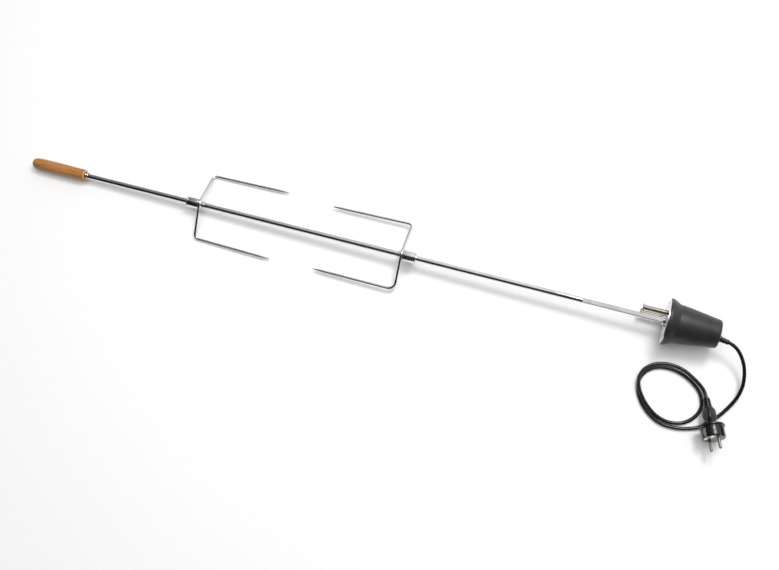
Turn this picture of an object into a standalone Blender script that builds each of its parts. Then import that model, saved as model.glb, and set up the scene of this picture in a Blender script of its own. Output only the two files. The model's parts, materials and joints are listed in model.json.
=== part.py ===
"""Rotisserie spit roaster: a geared electric motor that turns a long spit rod with two meat forks.

Everything on the spit is modelled in the spit frame: X runs along the rod from the wooden handle to
the motor, x = 0 is the front rim of the motor housing, and the rod's axis is y = z = 0. The empty
"assembly" lays that frame on the floor: the housing's rim and the left fork's corners touch z = 0.
The cord and its plug are placed in the floor frame of the empty "motor_foot", straight below the rim.
"""
import math

import bmesh
import bpy
from mathutils import Matrix, Vector

OBJECT_NAME = "rotisserie_spit_roaster"
GAP = 0.0003                      # clearance between pieces that touch

# Spit rod and handle
ROD_R = 0.005
ROD_CHAMFER = 0.0005
FLAT_HALF = 0.004                 # half the width across the milled flats
SQUARE_START = -0.137             # the flats begin here and run to the drive end
ROD_TAIL = -1.1485                # end inside the handle
ROD_DRIVE_END = 0.014             # end inside the drive socket
BORE_R = ROD_R + GAP
HANDLE_BUTT = -1.172
HANDLE_FRONT = -1.062
HANDLE_BORE_END = -1.150
FERRULE_R = 0.0065
RECESS_R = 0.0070
RECESS_DEPTH = 0.0025

# Meat forks
FORK_X = {"left": -0.8285, "right": -0.4493}
FORK_INWARD = {"left": 1, "right": -1}
WIRE_R = 0.0025
PRONG_LENGTH = 0.148
PRONG_SPREAD = 0.0596             # from the rod's axis to each prong
PRONG_DROP = 0.0168               # the prongs lie this far below the rod's axis
WIRE_PEAK = 0.0100                # where the two sloping legs would meet above the rod
PEAK_BEND_R = 0.010
CORNER_BEND_R = {"left": (0.008, 0.008), "right": (0.008, 0.013)}
TIP_SHIFT = {                     # how far each tip stands off its ideal place: along, sideways
    "left": ((0.0, 0.0028), (0.0, 0.0028)),
    "right": ((0.0, -0.0028), (0.003, 0.0)),
}
TIP_TAPER = 0.022
COLLAR_R = 0.010
COLLAR_LENGTH = 0.0226
NECK_R = 0.0062
NECK_LENGTH = 0.0100
COLLAR_FACE = WIRE_R + GAP        # the collar's inner face, behind the wire
SCREW_R = 0.003
SCREW_OFFSET = 0.0141             # from the wire to the thumbscrew's axis
SCREW_HEAD_R = 0.0055
SCREW_HEAD_TOP = -0.0125
SCREW_HEAD_HEIGHT = 0.005
KNURLS = 20

# Motor housing and face plate
RIM_R = 0.0385
HOUSING_REAR = 0.084
PLATE_R = 0.0365
PLATE_THICKNESS = 0.002
PLATE_HOLE_R = 0.011
PLATE_FRONT = -PLATE_THICKNESS - GAP
PLATE_SCREW_CIRCLE = 0.030
PLATE_SCREW_ANGLES = (5, 125, 245)
PLATE_SCREW_R = 0.0015
BOSS_R = 0.0035
BOSS_DEPTH = 0.013
STUD_PLACES = ((0.0107, 0.0170), (0.0083, -0.0190))
STUD_R = 0.004
STUD_LENGTH = 0.0395
STUD_HEAD_R = 0.006
STUD_NECK_R = 0.0025

# Gear train: two compound idlers between the rotor's pinion and the output wheel
PINION_TEETH = 10
WHEEL_TEETH = 36
OUTPUT_MODULE = 0.0007
FINE_MODULE = 0.0006
FRONT_PLATE_X = 0.005
REAR_PLATE_X = 0.029
GEAR_PLATE_THICKNESS = 0.0015
GEAR_PLATE_R = 0.026
AXLE_R = 0.001
RUNNING_GAP = 0.0004
POST_CIRCLE = 0.0225
POST_ANGLES = (25, -35, 222)
POST_R = 0.0025
POST_NECK_R = 0.0014
SOCKET_R = 0.007
SOCKET_FRONT = -0.0063
SOCKET_REAR = 0.0166
SOCKET_BORE_HALF = 0.0043
SOCKET_BORE_END = 0.0150
JOURNAL_R = 0.002
ROTOR_R = 0.009
ROTOR_SHAFT_R = 0.0012
CAN_R = 0.016
CAN_FRONT = 0.0310
CAN_REAR = 0.0540
CAN_WALL = 0.001

# Cord, strain relief and plug
CORD_R = 0.003
CORD_BORE_R = CORD_R + 0.0004
RELIEF_EXIT = (HOUSING_REAR, -0.0065)      # x and y where the cord leaves the rear wall
RELIEF_ANGLE = math.radians(8)
CORD_STEPS = 64
PLUG_BACK = Vector((0.0923, -0.1012, 0.0105))
PLUG_FACE = Vector((0.1134, -0.1624, 0.0331))
PLUG_ROLL = math.radians(54)
PLUG_LENGTH = 0.069
PLUG_BODY_START = 0.017
PLUG_FLANGE_R = 0.0205
PLUG_FRONT_R = 0.0185
PLUG_RECESS_START = 0.053         # the front's side notches run from here to its face
CLIP_SEAT_R = 0.0162
PIN_R = 0.0024
PIN_HALF_SPACING = 0.0095
PIN_LENGTH = 0.019

# The cord's route in the floor frame, millimetres, from inside the housing to inside the plug's boot
CORD_ROUTE_MM = (
    (66, -4.0, 40.0), (84, -6.5, 40.4), (99, -8.6, 40.8), (112, -12.9, 39.8), (124, -22.6, 35),
    (133.3, -36, 28.7), (139, -50.5, 22.5), (141.5, -68.5, 16.5),
    (138.5, -87.5, 10.5), (130, -106, 6), (118, -124.5, 3.4), (105, -138, 3.2), (92, -150, 3.2),
    (71, -158, 3.2), (52.5, -161, 3.2), (32.5, -159.5, 3.2), (13.5, -150.5, 3.2), (-2, -136.5, 3.2),
    (-12.5, -119, 3.2), (-15.5, -100.5, 3.2), (-8.5, -84, 3.2), (4.5, -73.5, 3.2),
    (21.5, -69, 3.2), (39, -70, 3.2), (55.5, -75.2, 3.2), (70, -83.5, 3.2), (80.6, -92.9, 3.2),
    (86.8, -103.4, 3.2), (89.5, -115, 3.2), (87, -127.6, 3.2), (81, -137.7, 3.2),
    (73, -145.4, 3.2), (62, -151.5, 3.2), (44.5, -154.3, 3.5), (26.5, -150.5, 4.4),
    (11, -141.5, 6.2), (-2.5, -129, 8.2), (-13, -113.5, 9.6), (-17, -98, 9.8), (-13, -82.5, 9.6),
    (0, -70, 9.4), (16.5, -64, 9.2), (34, -63.3, 9.4), (51, -67.3, 9.9), (64.5, -74.2, 10),
    (75, -80.6, 9.6), (84.6, -88.0, 8.7), (91.1, -97.6, 9.2), (95.4, -110.1, 13.8),
)

RIM_LIFT = RIM_R
FORK_LIFT = PRONG_DROP + WIRE_R
TILT = math.atan((RIM_LIFT - FORK_LIFT) / -FORK_X["left"])
MOTOR_X = (-HANDLE_BUTT - HOUSING_REAR) / 2 * math.cos(TILT)      # centres the length on the origin

ALONG_SPIT = (math.pi / 2, 0, math.pi / 2)        # local Z to +X, local X to +Y, local Y to +Z
AGAINST_SPIT = (math.pi / 2, 0, -math.pi / 2)     # local Z to -X

COLOURS = {                       # base colour, roughness, metallic
    "wood": ((0.46, 0.20, 0.06), 0.45, 0.0),
    "chrome": ((0.78, 0.78, 0.79), 0.12, 1.0),
    "steel": ((0.62, 0.61, 0.60), 0.28, 1.0),
    "nickel": ((0.50, 0.46, 0.41), 0.30, 1.0),
    "charcoal": ((0.045, 0.046, 0.048), 0.50, 0.0),
    "black_vinyl": ((0.012, 0.012, 0.013), 0.35, 0.0),
    "brass": ((0.70, 0.52, 0.24), 0.30, 1.0),
    "nylon": ((0.80, 0.78, 0.72), 0.50, 0.0),
    "magnet": ((0.09, 0.09, 0.10), 0.55, 0.4),
    "copper": ((0.62, 0.25, 0.12), 0.40, 1.0),
}


def clear_scene():
    for obj in list(bpy.data.objects):
        bpy.data.objects.remove(obj, do_unlink=True)


def new_collection(name):
    collection = bpy.data.collections.new(name)
    bpy.context.scene.collection.children.link(collection)
    return collection


def new_empty(name, location, rotation=(0, 0, 0)):
    empty = bpy.data.objects.new(name, None)
    empty.location = location
    empty.rotation_euler = rotation
    bpy.context.scene.collection.objects.link(empty)
    return empty


clear_scene()
PARTS = new_collection(OBJECT_NAME)
CUTTERS = new_collection("cutters")
ASSEMBLY = new_empty("assembly", (MOTOR_X, 0, RIM_LIFT * math.cos(TILT)), (0, -TILT, 0))
MOTOR_FOOT = new_empty("motor_foot", (MOTOR_X, 0, 0))


# ---------------------------------------------------------------- shapes

def place(obj, location, rotation, parent):
    obj.location = location
    obj.rotation_euler = rotation
    obj.parent = parent
    PARTS.objects.link(obj)
    return obj


def turned(name, profile, location=(0, 0, 0), rotation=ALONG_SPIT, steps=24, ring=False, parent=None):
    """Turn a profile of (radius, height) points, top to bottom down its outer side, about local Z."""
    edges = [(i, i + 1) for i in range(len(profile) - 1)]
    if ring:
        edges.append((len(profile) - 1, 0))
    mesh = bpy.data.meshes.new(name)
    mesh.from_pydata([(radius, 0, height) for radius, height in profile], edges, [])
    obj = bpy.data.objects.new(name, mesh)
    screw = obj.modifiers.new("turn", "SCREW")
    screw.steps = steps
    screw.render_steps = steps
    screw.use_merge_vertices = True
    screw.merge_threshold = 0.00001
    return place(obj, location, rotation, parent or ASSEMBLY)


def cylinder(name, radius, low, high, location=(0, 0, 0), rotation=ALONG_SPIT, sides=24, top=None,
             parent=None):
    """A closed cylinder or cone along local Z, from low to high."""
    shape = bmesh.new()
    bmesh.ops.create_cone(shape, cap_ends=True, segments=sides, radius1=radius,
                          radius2=radius if top is None else top, depth=high - low)
    bmesh.ops.translate(shape, verts=shape.verts, vec=(0, 0, (low + high) / 2))
    mesh = bpy.data.meshes.new(name)
    shape.to_mesh(mesh)
    shape.free()
    return place(bpy.data.objects.new(name, mesh), location, rotation, parent or ASSEMBLY)


def block(name, low, high, location=(0, 0, 0), rotation=(0, 0, 0), parent=None):
    """A box between two opposite corners."""
    shape = bmesh.new()
    bmesh.ops.create_cube(shape, size=1)
    size = Vector(high) - Vector(low)
    bmesh.ops.scale(shape, verts=shape.verts, vec=size)
    bmesh.ops.translate(shape, verts=shape.verts, vec=(Vector(high) + Vector(low)) / 2)
    mesh = bpy.data.meshes.new(name)
    shape.to_mesh(mesh)
    shape.free()
    return place(bpy.data.objects.new(name, mesh), location, rotation, parent or ASSEMBLY)


def new_curve(name, dimensions, points, radii=None, cyclic=False):
    curve = bpy.data.curves.new(name, "CURVE")
    curve.dimensions = dimensions
    spline = curve.splines.new("POLY")
    spline.points.add(len(points) - 1)
    spline.use_cyclic_u = cyclic
    for index, (point, target) in enumerate(zip(points, spline.points)):
        target.co = (*point, 1)
        target.radius = radii[index] if radii else 1
    return curve


def as_mesh(obj):
    """Replace a curve or a modified object by its finished mesh, with its seams welded."""
    bpy.context.view_layer.update()
    evaluated = obj.evaluated_get(bpy.context.evaluated_depsgraph_get())
    mesh = bpy.data.meshes.new_from_object(evaluated)
    shape = bmesh.new()
    shape.from_mesh(mesh)
    bmesh.ops.remove_doubles(shape, verts=shape.verts, dist=0.000005)
    shape.to_mesh(mesh)
    shape.free()
    name = obj.name
    solid = bpy.data.objects.new(name + "_solid", mesh)
    place(solid, obj.location, obj.rotation_euler, obj.parent)
    bpy.data.objects.remove(obj, do_unlink=True)
    solid.name = name
    return solid


def extruded(name, outline, low, high, location=(0, 0, 0), rotation=ALONG_SPIT, parent=None):
    """A flat outline in local XY, thickened along local Z from low to high."""
    curve = new_curve(name, "2D", [(x, y, 0) for x, y in outline], cyclic=True)
    curve.fill_mode = "BOTH"
    curve.extrude = (high - low) / 2
    solid = as_mesh(place(bpy.data.objects.new(name, curve), location, rotation, parent or ASSEMBLY))
    solid.data.transform(Matrix.Translation((0, 0, (low + high) / 2)))
    return solid


def tube(name, points, radius, radii=None, resolution=2, location=(0, 0, 0), parent=None,
         rotation=(0, 0, 0)):
    curve = new_curve(name, "3D", points, radii)
    curve.bevel_depth = radius
    curve.bevel_resolution = resolution
    curve.use_fill_caps = True
    return place(bpy.data.objects.new(name, curve), location, rotation, parent or ASSEMBLY)


def apply_tool(obj, tool, operation):
    modifier = obj.modifiers.new(tool.name, "BOOLEAN")
    modifier.operation = operation
    modifier.object = tool
    PARTS.objects.unlink(tool)
    CUTTERS.objects.link(tool)
    tool.hide_render = True
    tool.display_type = "WIRE"


def cut(obj, *tools):
    for tool in tools:
        apply_tool(obj, tool, "DIFFERENCE")
    return obj


def fuse(obj, *tools):
    for tool in tools:
        apply_tool(obj, tool, "UNION")
    return obj


def paint(obj, kind):
    colour, roughness, metallic = COLOURS[kind]
    material = bpy.data.materials.new(obj.name)
    material.use_nodes = True
    shader = material.node_tree.nodes["Principled BSDF"]
    shader.inputs["Base Color"].default_value = (*colour, 1)
    shader.inputs["Roughness"].default_value = roughness
    shader.inputs["Metallic"].default_value = metallic
    material.diffuse_color = (*colour, 1)
    obj.data.materials.clear()
    obj.data.materials.append(material)
    return obj


def polar(radius, degrees):
    """A place (y, z) on a circle about the spit's axis."""
    angle = math.radians(degrees)
    return radius * math.cos(angle), radius * math.sin(angle)


# ---------------------------------------------------------------- spit rod and handle

def make_handle():
    bore_edge = HANDLE_FRONT - RECESS_DEPTH
    profile = [
        (0, HANDLE_BORE_END), (BORE_R, HANDLE_BORE_END), (BORE_R, bore_edge), (RECESS_R, bore_edge),
        (RECESS_R, HANDLE_FRONT), (0.0088, HANDLE_FRONT), (0.0100, HANDLE_FRONT - 0.0015),
        (0.01035, HANDLE_FRONT - 0.023), (0.0107, HANDLE_FRONT - 0.053),
        (0.01075, HANDLE_BUTT + 0.032), (0.0105, HANDLE_BUTT + 0.014), (0.0098, HANDLE_BUTT + 0.0070),
        (0.0083, HANDLE_BUTT + 0.0030), (0.0055, HANDLE_BUTT + 0.0007), (0, HANDLE_BUTT),
    ]
    paint(turned("handle", profile, steps=24), "wood")


def make_ferrule():
    rear = HANDLE_FRONT - RECESS_DEPTH + GAP
    front = HANDLE_FRONT + 0.0055
    profile = [
        (BORE_R, front), (FERRULE_R - 0.0006, front), (FERRULE_R, front - 0.0006), (FERRULE_R, rear),
        (BORE_R, rear),
    ]
    paint(turned("handle_ferrule", profile, ring=True), "steel")


def make_rod():
    profile = [
        (0, ROD_DRIVE_END), (ROD_R - ROD_CHAMFER, ROD_DRIVE_END), (ROD_R, ROD_DRIVE_END - ROD_CHAMFER),
        (ROD_R, ROD_TAIL + ROD_CHAMFER), (ROD_R - ROD_CHAMFER, ROD_TAIL), (0, ROD_TAIL),
    ]
    rod = turned("spit_rod", profile)
    for side in range(4):
        turn = (side * math.pi / 2, 0, 0)
        flat = block(f"rod_flat_{side}", (SQUARE_START, -0.0035, FLAT_HALF),
                     (ROD_DRIVE_END + 0.002, 0.0035, FLAT_HALF + 0.002), rotation=turn)
        cut(rod, flat)
    paint(rod, "chrome")


# ---------------------------------------------------------------- meat forks

def rounded_path(corners, bend_radii, steps=5):
    """The corner points joined by straight runs, with an arc of the given radius at each inner one."""
    points = [Vector(corners[0])]
    for before, corner, after, radius in zip(corners, corners[1:], corners[2:], bend_radii):
        corner = Vector(corner)
        incoming = (corner - Vector(before)).normalized()
        outgoing = (Vector(after) - corner).normalized()
        turn = incoming.angle(outgoing)
        start = corner - incoming * radius * math.tan(turn / 2)
        inward = (outgoing - incoming * incoming.dot(outgoing)).normalized()
        for step in range(steps + 1):
            angle = turn * step / steps
            points.append(start + incoming * radius * math.sin(angle)
                          + inward * radius * (1 - math.cos(angle)))
    points.append(Vector(corners[-1]))
    return points


def make_tines(side):
    """One bent wire: prong, corner, leg over the rod, leg, corner, prong, in (across, up, inward)."""
    inward = FORK_INWARD[side]
    near, far = TIP_SHIFT[side]
    spread = PRONG_SPREAD
    upper_tip = (spread + near[1], -PRONG_DROP, PRONG_LENGTH + near[0])
    lower_tip = (-spread - far[1], -PRONG_DROP, PRONG_LENGTH + far[0])
    corners = [upper_tip, (spread, -PRONG_DROP, 0), (0, WIRE_PEAK, 0), (-spread, -PRONG_DROP, 0),
               lower_tip]
    upper_bend, lower_bend = CORNER_BEND_R[side]
    path = rounded_path(corners, (upper_bend, PEAK_BEND_R, lower_bend))
    taper_up = (path[0] - path[1]).normalized() * TIP_TAPER
    taper_down = (path[-1] - path[-2]).normalized() * TIP_TAPER
    path = [path[0], path[0] - taper_up * 0.4, path[0] - taper_up, *path[1:-1],
            path[-1] - taper_down, path[-1] - taper_down * 0.4, path[-1]]
    radii = [0.12, 0.64, 1, *([1] * (len(path) - 6)), 1, 0.64, 0.12]
    points = [(inward * along, across, up) for across, up, along in path]
    tines = tube(f"{side}_fork_tines", points, WIRE_R, radii, location=(FORK_X[side], 0, 0))
    paint(tines, "chrome")


def make_collar(side):
    back = -COLLAR_FACE - COLLAR_LENGTH
    neck = NECK_LENGTH - COLLAR_FACE
    profile = [
        (BORE_R, neck), (NECK_R - 0.0004, neck), (NECK_R, neck - 0.0004), (NECK_R, -COLLAR_FACE),
        (COLLAR_R - 0.0006, -COLLAR_FACE), (COLLAR_R, -COLLAR_FACE - 0.0006),
        (COLLAR_R, back + 0.0006), (COLLAR_R - 0.0006, back), (BORE_R, back),
    ]
    rotation = ALONG_SPIT if FORK_INWARD[side] > 0 else AGAINST_SPIT
    collar = turned(f"{side}_fork_collar", profile, (FORK_X[side], 0, 0), rotation, ring=True)
    screw_x = FORK_X[side] - FORK_INWARD[side] * SCREW_OFFSET
    hole = cylinder(f"{side}_screw_hole", SCREW_R + GAP, -0.012, -0.004, (screw_x, 0, 0), (0, 0, 0),
                    sides=16)
    paint(cut(collar, hole), "chrome")


def make_thumbscrew(side):
    """A screw up through the collar's wall from below, with a knurled head."""
    screw_x = FORK_X[side] - FORK_INWARD[side] * SCREW_OFFSET
    outline = []
    for index in range(2 * KNURLS):
        radius = SCREW_HEAD_R if index % 2 else SCREW_HEAD_R - 0.0005
        outline.append(polar(radius, index * 180 / KNURLS))
    head = extruded(f"{side}_thumbscrew", outline, SCREW_HEAD_TOP - SCREW_HEAD_HEIGHT, SCREW_HEAD_TOP,
                    (screw_x, 0, 0), (0, 0, 0))
    shank = cylinder(f"{side}_shank", SCREW_R, SCREW_HEAD_TOP - 0.001, -BORE_R, (screw_x, 0, 0),
                     (0, 0, 0), sides=16)
    paint(fuse(head, shank), "steel")


# ---------------------------------------------------------------- motor housing and mounting

def make_housing():
    """A flared cup, open at its front rim, with three screw bosses and a hole for the cord."""
    outer = [
        (0, HOUSING_REAR), (0.0203, HOUSING_REAR), (0.0224, 0.0831), (0.0233, 0.0810),
        (0.0308, 0.0308), (0.0318, 0.0200), (0.0319, 0.0173), (0.0336, 0.0130), (0.0358, 0.0094),
        (0.0382, 0.0044), (RIM_R, 0.0030), (RIM_R, 0),
    ]
    inner = [
        (0.0362, 0), (0.0358, 0.0044), (0.0334, 0.0094), (0.0294, 0.0173), (0.0293, 0.0200),
        (0.0283, 0.0308), (0.0210, 0.0795), (0.0190, 0.0815), (0, 0.0815),
    ]
    housing = turned("motor_housing", outer + inner, steps=32)
    for number, degrees in enumerate(PLATE_SCREW_ANGLES):
        y, z = polar(PLATE_SCREW_CIRCLE, degrees)
        boss = cylinder(f"boss_{number}", BOSS_R, 0, BOSS_DEPTH, (0, y, z), sides=16)
        hole = cylinder(f"boss_hole_{number}", PLATE_SCREW_R + GAP, -0.001, 0.0105, (0, y, z), sides=12)
        cut(fuse(housing, boss), hole)
    exit_x, exit_y = RELIEF_EXIT
    cut(housing, cylinder("relief_hole", 0.0054, -0.006, 0.006, (exit_x, exit_y, 0), relief_rotation(),
                          sides=16))
    paint(housing, "charcoal")


def make_face_plate():
    plate = cylinder("face_plate", PLATE_R, PLATE_FRONT, -GAP, sides=32)
    cut(plate, cylinder("plate_hole", PLATE_HOLE_R, -0.01, 0.01, sides=24))
    for number, degrees in enumerate(PLATE_SCREW_ANGLES):
        y, z = polar(PLATE_SCREW_CIRCLE, degrees)
        cut(plate,
            cylinder(f"plate_screw_hole_{number}", PLATE_SCREW_R + GAP, -0.01, 0.01, (0, y, z), sides=12),
            cylinder(f"countersink_{number}", 0.0037, -0.0028, -0.0007, (0, y, z), sides=12, top=0.0016))
    for number, (y, z) in enumerate(STUD_PLACES):
        cut(plate, cylinder(f"stud_hole_{number}", STUD_NECK_R + GAP, -0.01, 0.01, (0, y, z), sides=16))
    paint(plate, "steel")


def make_plate_screws():
    """Countersunk cross-recess screws from the face plate into the housing's bosses."""
    top = PLATE_FRONT + 0.0002
    profile = [
        (0, 0.0095), (0.0011, 0.0095), (PLATE_SCREW_R, 0.0088), (PLATE_SCREW_R, top + 0.0015),
        (0.0030, top), (0, top),
    ]
    for number, degrees in enumerate(PLATE_SCREW_ANGLES, 1):
        y, z = polar(PLATE_SCREW_CIRCLE, degrees)
        screw = turned(f"plate_screw_{number}", profile, (0, y, z), steps=12)
        depth = top + 0.0009
        cut(screw, block(f"cross_{number}_a", (top - 0.001, -0.0017, -0.0003), (depth, 0.0017, 0.0003),
                         (0, y, z)),
            block(f"cross_{number}_b", (top - 0.001, -0.0003, -0.0017), (depth, 0.0003, 0.0017),
                  (0, y, z)))
        paint(screw, "steel")


def make_studs():
    """Two headed studs that hook into a grill's motor bracket, with spacers and nuts behind."""
    base = PLATE_FRONT - GAP
    head = base - STUD_LENGTH
    tail = 0.0115
    stud_profile = [
        (0, tail), (0.0021, tail), (STUD_NECK_R, tail - 0.0004), (STUD_NECK_R, base), (STUD_R, base),
        (STUD_R, head + 0.0022), (STUD_HEAD_R, head + 0.0022), (STUD_HEAD_R, head + 0.0006),
        (STUD_HEAD_R - 0.0006, head), (0, head),
    ]
    bore = STUD_NECK_R + GAP
    spacer_profile = [(bore, FRONT_PLATE_X - GAP), (0.0045, FRONT_PLATE_X - GAP), (0.0045, 0), (bore, 0)]
    nut_front = FRONT_PLATE_X + GEAR_PLATE_THICKNESS + GAP
    hexagon = [polar(0.0046, 60 * corner) for corner in range(6)]
    for number, (y, z) in enumerate(STUD_PLACES, 1):
        here = (0, y, z)
        paint(turned(f"mounting_stud_{number}", stud_profile, here, steps=16), "nickel")
        paint(turned(f"stud_spacer_{number}", spacer_profile, here, steps=12, ring=True), "steel")
        nut = extruded(f"stud_nut_{number}", hexagon, nut_front, nut_front + 0.0040, here)
        cut(nut, cylinder(f"nut_bore_{number}", bore, 0, 0.02, here, sides=12))
        paint(nut, "steel")


# ---------------------------------------------------------------- gear train and rotor

def pitch_radius(module, teeth):
    return module * teeth / 2


OUTPUT_DISTANCE = pitch_radius(OUTPUT_MODULE, WHEEL_TEETH + PINION_TEETH)
FINE_DISTANCE = pitch_radius(FINE_MODULE, WHEEL_TEETH + PINION_TEETH)
TO_FIRST = 180                    # direction from the output to the first idler, degrees
TO_SECOND = 65
TO_ROTOR = -25
FIRST_IDLER = Vector(polar(OUTPUT_DISTANCE, TO_FIRST))
SECOND_IDLER = FIRST_IDLER + Vector(polar(FINE_DISTANCE, TO_SECOND))
ROTOR = SECOND_IDLER + Vector(polar(FINE_DISTANCE, TO_ROTOR))


def gear_outline(module, teeth, direction, tooth_there):
    """Straight-sided teeth, with a tooth, or else a gap, pointing in the given direction."""
    pitch = 360 / teeth
    first = direction if tooth_there else direction + pitch / 2
    root = pitch_radius(module, teeth) - 1.15 * module
    tip = pitch_radius(module, teeth) + 0.85 * module
    corners = ((root, -0.29), (tip, -0.10), (tip, 0.10), (root, 0.29))
    return [polar(radius, first + (tooth + offset) * pitch)
            for tooth in range(teeth) for radius, offset in corners]


def at_gear(centre, x=0):
    return (x, centre[0], centre[1])


def make_output():
    """The drive socket that the spit's square end sits in, its bush and the wheel that turns it."""
    journal_end = REAR_PLATE_X + GEAR_PLATE_THICKNESS + 0.0003
    socket_profile = [
        (0, journal_end), (JOURNAL_R, journal_end), (JOURNAL_R, SOCKET_REAR), (SOCKET_R, SOCKET_REAR),
        (SOCKET_R, SOCKET_FRONT + 0.0006), (SOCKET_R - 0.0006, SOCKET_FRONT), (0, SOCKET_FRONT),
    ]
    half = SOCKET_BORE_HALF
    socket = turned("drive_socket", socket_profile, steps=20)
    bore = block("socket_bore", (SOCKET_FRONT - 0.002, -half, -half), (SOCKET_BORE_END, half, half))
    paint(cut(socket, bore), "steel")
    bore_r = SOCKET_R + GAP
    face = FRONT_PLATE_X - GAP
    bush_profile = [
        (bore_r, 0.0092), (0.0085, 0.0092), (0.0085, face), (0.0100, face), (0.0100, 0.0028),
        (bore_r, 0.0028),
    ]
    paint(turned("output_bush", bush_profile, steps=20, ring=True), "brass")
    wheel = extruded("output_gear", gear_outline(OUTPUT_MODULE, WHEEL_TEETH, TO_FIRST, True),
                     0.0110, 0.0160)
    paint(cut(wheel, cylinder("output_gear_bore", bore_r, 0, 0.02)), "brass")


def make_idler(name, centre, module, pinion_span, wheel_span, from_direction, to_direction):
    """A compound gear: a pinion that drives the gear before it, and a wheel driven by the next."""
    pinion = gear_outline(module, PINION_TEETH, from_direction + 180, False)
    wheel = gear_outline(FINE_MODULE, WHEEL_TEETH, to_direction, True)
    here = at_gear(centre)
    gear = extruded(name, wheel, *wheel_span, here)
    fuse(gear, extruded(f"{name}_pinion", pinion, *pinion_span, here))
    bore = cylinder(f"{name}_bore", AXLE_R + RUNNING_GAP, 0, 0.04, here, sides=10)
    paint(cut(gear, bore), "nylon")


def make_rotor():
    here = at_gear(ROTOR)
    profile = [
        (0, CAN_REAR), (ROTOR_SHAFT_R, CAN_REAR), (ROTOR_SHAFT_R, 0.0505), (ROTOR_R, 0.0505),
        (ROTOR_R, 0.0345), (ROTOR_SHAFT_R, 0.0345), (ROTOR_SHAFT_R, 0.0205), (0, 0.0205),
    ]
    rotor = turned("motor_rotor", profile, here, steps=16)
    teeth = gear_outline(FINE_MODULE, PINION_TEETH, TO_ROTOR + 180, False)
    fuse(rotor, extruded("rotor_pinion", teeth, 0.0200, 0.0236, here))
    paint(rotor, "magnet")


def make_gear_frame():
    """Two plates on three posts that carry the axles."""
    rear_holes = ((ROTOR, ROTOR_SHAFT_R + RUNNING_GAP), ((0, 0), JOURNAL_R + RUNNING_GAP))
    front_holes = [((0, 0), 0.0085 + GAP)] + [(place_yz, STUD_NECK_R + GAP) for place_yz in STUD_PLACES]
    posts = [polar(POST_CIRCLE, degrees) for degrees in POST_ANGLES]
    shared = [(FIRST_IDLER, AXLE_R + GAP), (SECOND_IDLER, AXLE_R + GAP)]
    shared += [(post, POST_NECK_R + GAP) for post in posts]
    for name, front, holes in (("gear_front_plate", FRONT_PLATE_X, front_holes),
                               ("gear_rear_plate", REAR_PLATE_X, rear_holes)):
        back = front + GEAR_PLATE_THICKNESS
        plate = cylinder(name, GEAR_PLATE_R, front, back, sides=24)
        for number, (centre, radius) in enumerate([*holes, *shared]):
            sides = 20 if radius > 0.005 else 8
            cut(plate, cylinder(f"{name}_hole_{number}", radius, front - 0.001, back + 0.001,
                                at_gear(centre), sides=sides))
        paint(plate, "steel")
    low = FRONT_PLATE_X + GEAR_PLATE_THICKNESS + GAP
    high = REAR_PLATE_X - GAP
    end = REAR_PLATE_X + GEAR_PLATE_THICKNESS + GAP
    neck = POST_NECK_R
    profile = [
        (0, end), (neck, end), (neck, high), (POST_R, high), (POST_R, low), (neck, low),
        (neck, FRONT_PLATE_X - GAP), (0, FRONT_PLATE_X - GAP),
    ]
    for number, post in enumerate(posts, 1):
        paint(turned(f"frame_post_{number}", profile, at_gear(post), steps=8), "steel")
    for name, centre in (("first_idler_axle", FIRST_IDLER), ("second_idler_axle", SECOND_IDLER)):
        paint(cylinder(name, AXLE_R, FRONT_PLATE_X - GAP, end, at_gear(centre), sides=8), "steel")


def make_stator():
    """A steel can round a ring coil, on the gear frame's rear plate, with the rotor inside."""
    here = at_gear(ROTOR)
    bearing = ROTOR_SHAFT_R + RUNNING_GAP
    can_profile = [
        (bearing, CAN_REAR), (CAN_R - 0.0008, CAN_REAR), (CAN_R, CAN_REAR - 0.0008), (CAN_R, CAN_FRONT),
        (CAN_R - CAN_WALL, CAN_FRONT), (CAN_R - CAN_WALL, CAN_REAR - CAN_WALL),
        (bearing, CAN_REAR - CAN_WALL),
    ]
    paint(turned("stator_can", can_profile, here, steps=20, ring=True), "steel")
    outer = CAN_R - CAN_WALL - GAP
    inner = ROTOR_R + 0.0006
    coil_profile = [
        (inner, 0.0520), (outer, 0.0520), (outer, 0.0500), (outer - 0.0015, 0.0490),
        (outer - 0.0015, 0.0365), (outer, 0.0355), (outer, 0.0335), (inner, 0.0335),
    ]
    paint(turned("stator_coil", coil_profile, here, steps=16, ring=True), "copper")


# ---------------------------------------------------------------- cord, strain relief and plug

def relief_rotation():
    """Local Z along the cord where it leaves the housing."""
    return (math.pi / 2, 0, math.pi / 2 - RELIEF_ANGLE)


def make_strain_relief():
    """A tapered sleeve with a groove that the housing's rear wall sits in."""
    bore = CORD_BORE_R
    profile = [
        (bore, 0.0172), (0.0040, 0.0172), (0.0042, 0.0160), (0.0043, 0.0125), (0.0039, 0.0122),
        (0.0039, 0.0110), (0.0045, 0.0107), (0.0046, 0.0075), (0.0041, 0.0072), (0.0041, 0.0060),
        (0.0048, 0.0057), (0.0049, 0.0031), (0.0062, 0.0028), (0.0062, 0.0016), (0.0048, 0.0016),
        (0.0048, -0.0038), (0.0072, -0.0038), (0.0072, -0.0054), (bore, -0.0054),
    ]
    exit_x, exit_y = RELIEF_EXIT
    relief = turned("strain_relief", profile, (exit_x, exit_y, 0), relief_rotation(), steps=14, ring=True)
    paint(relief, "black_vinyl")


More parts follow.
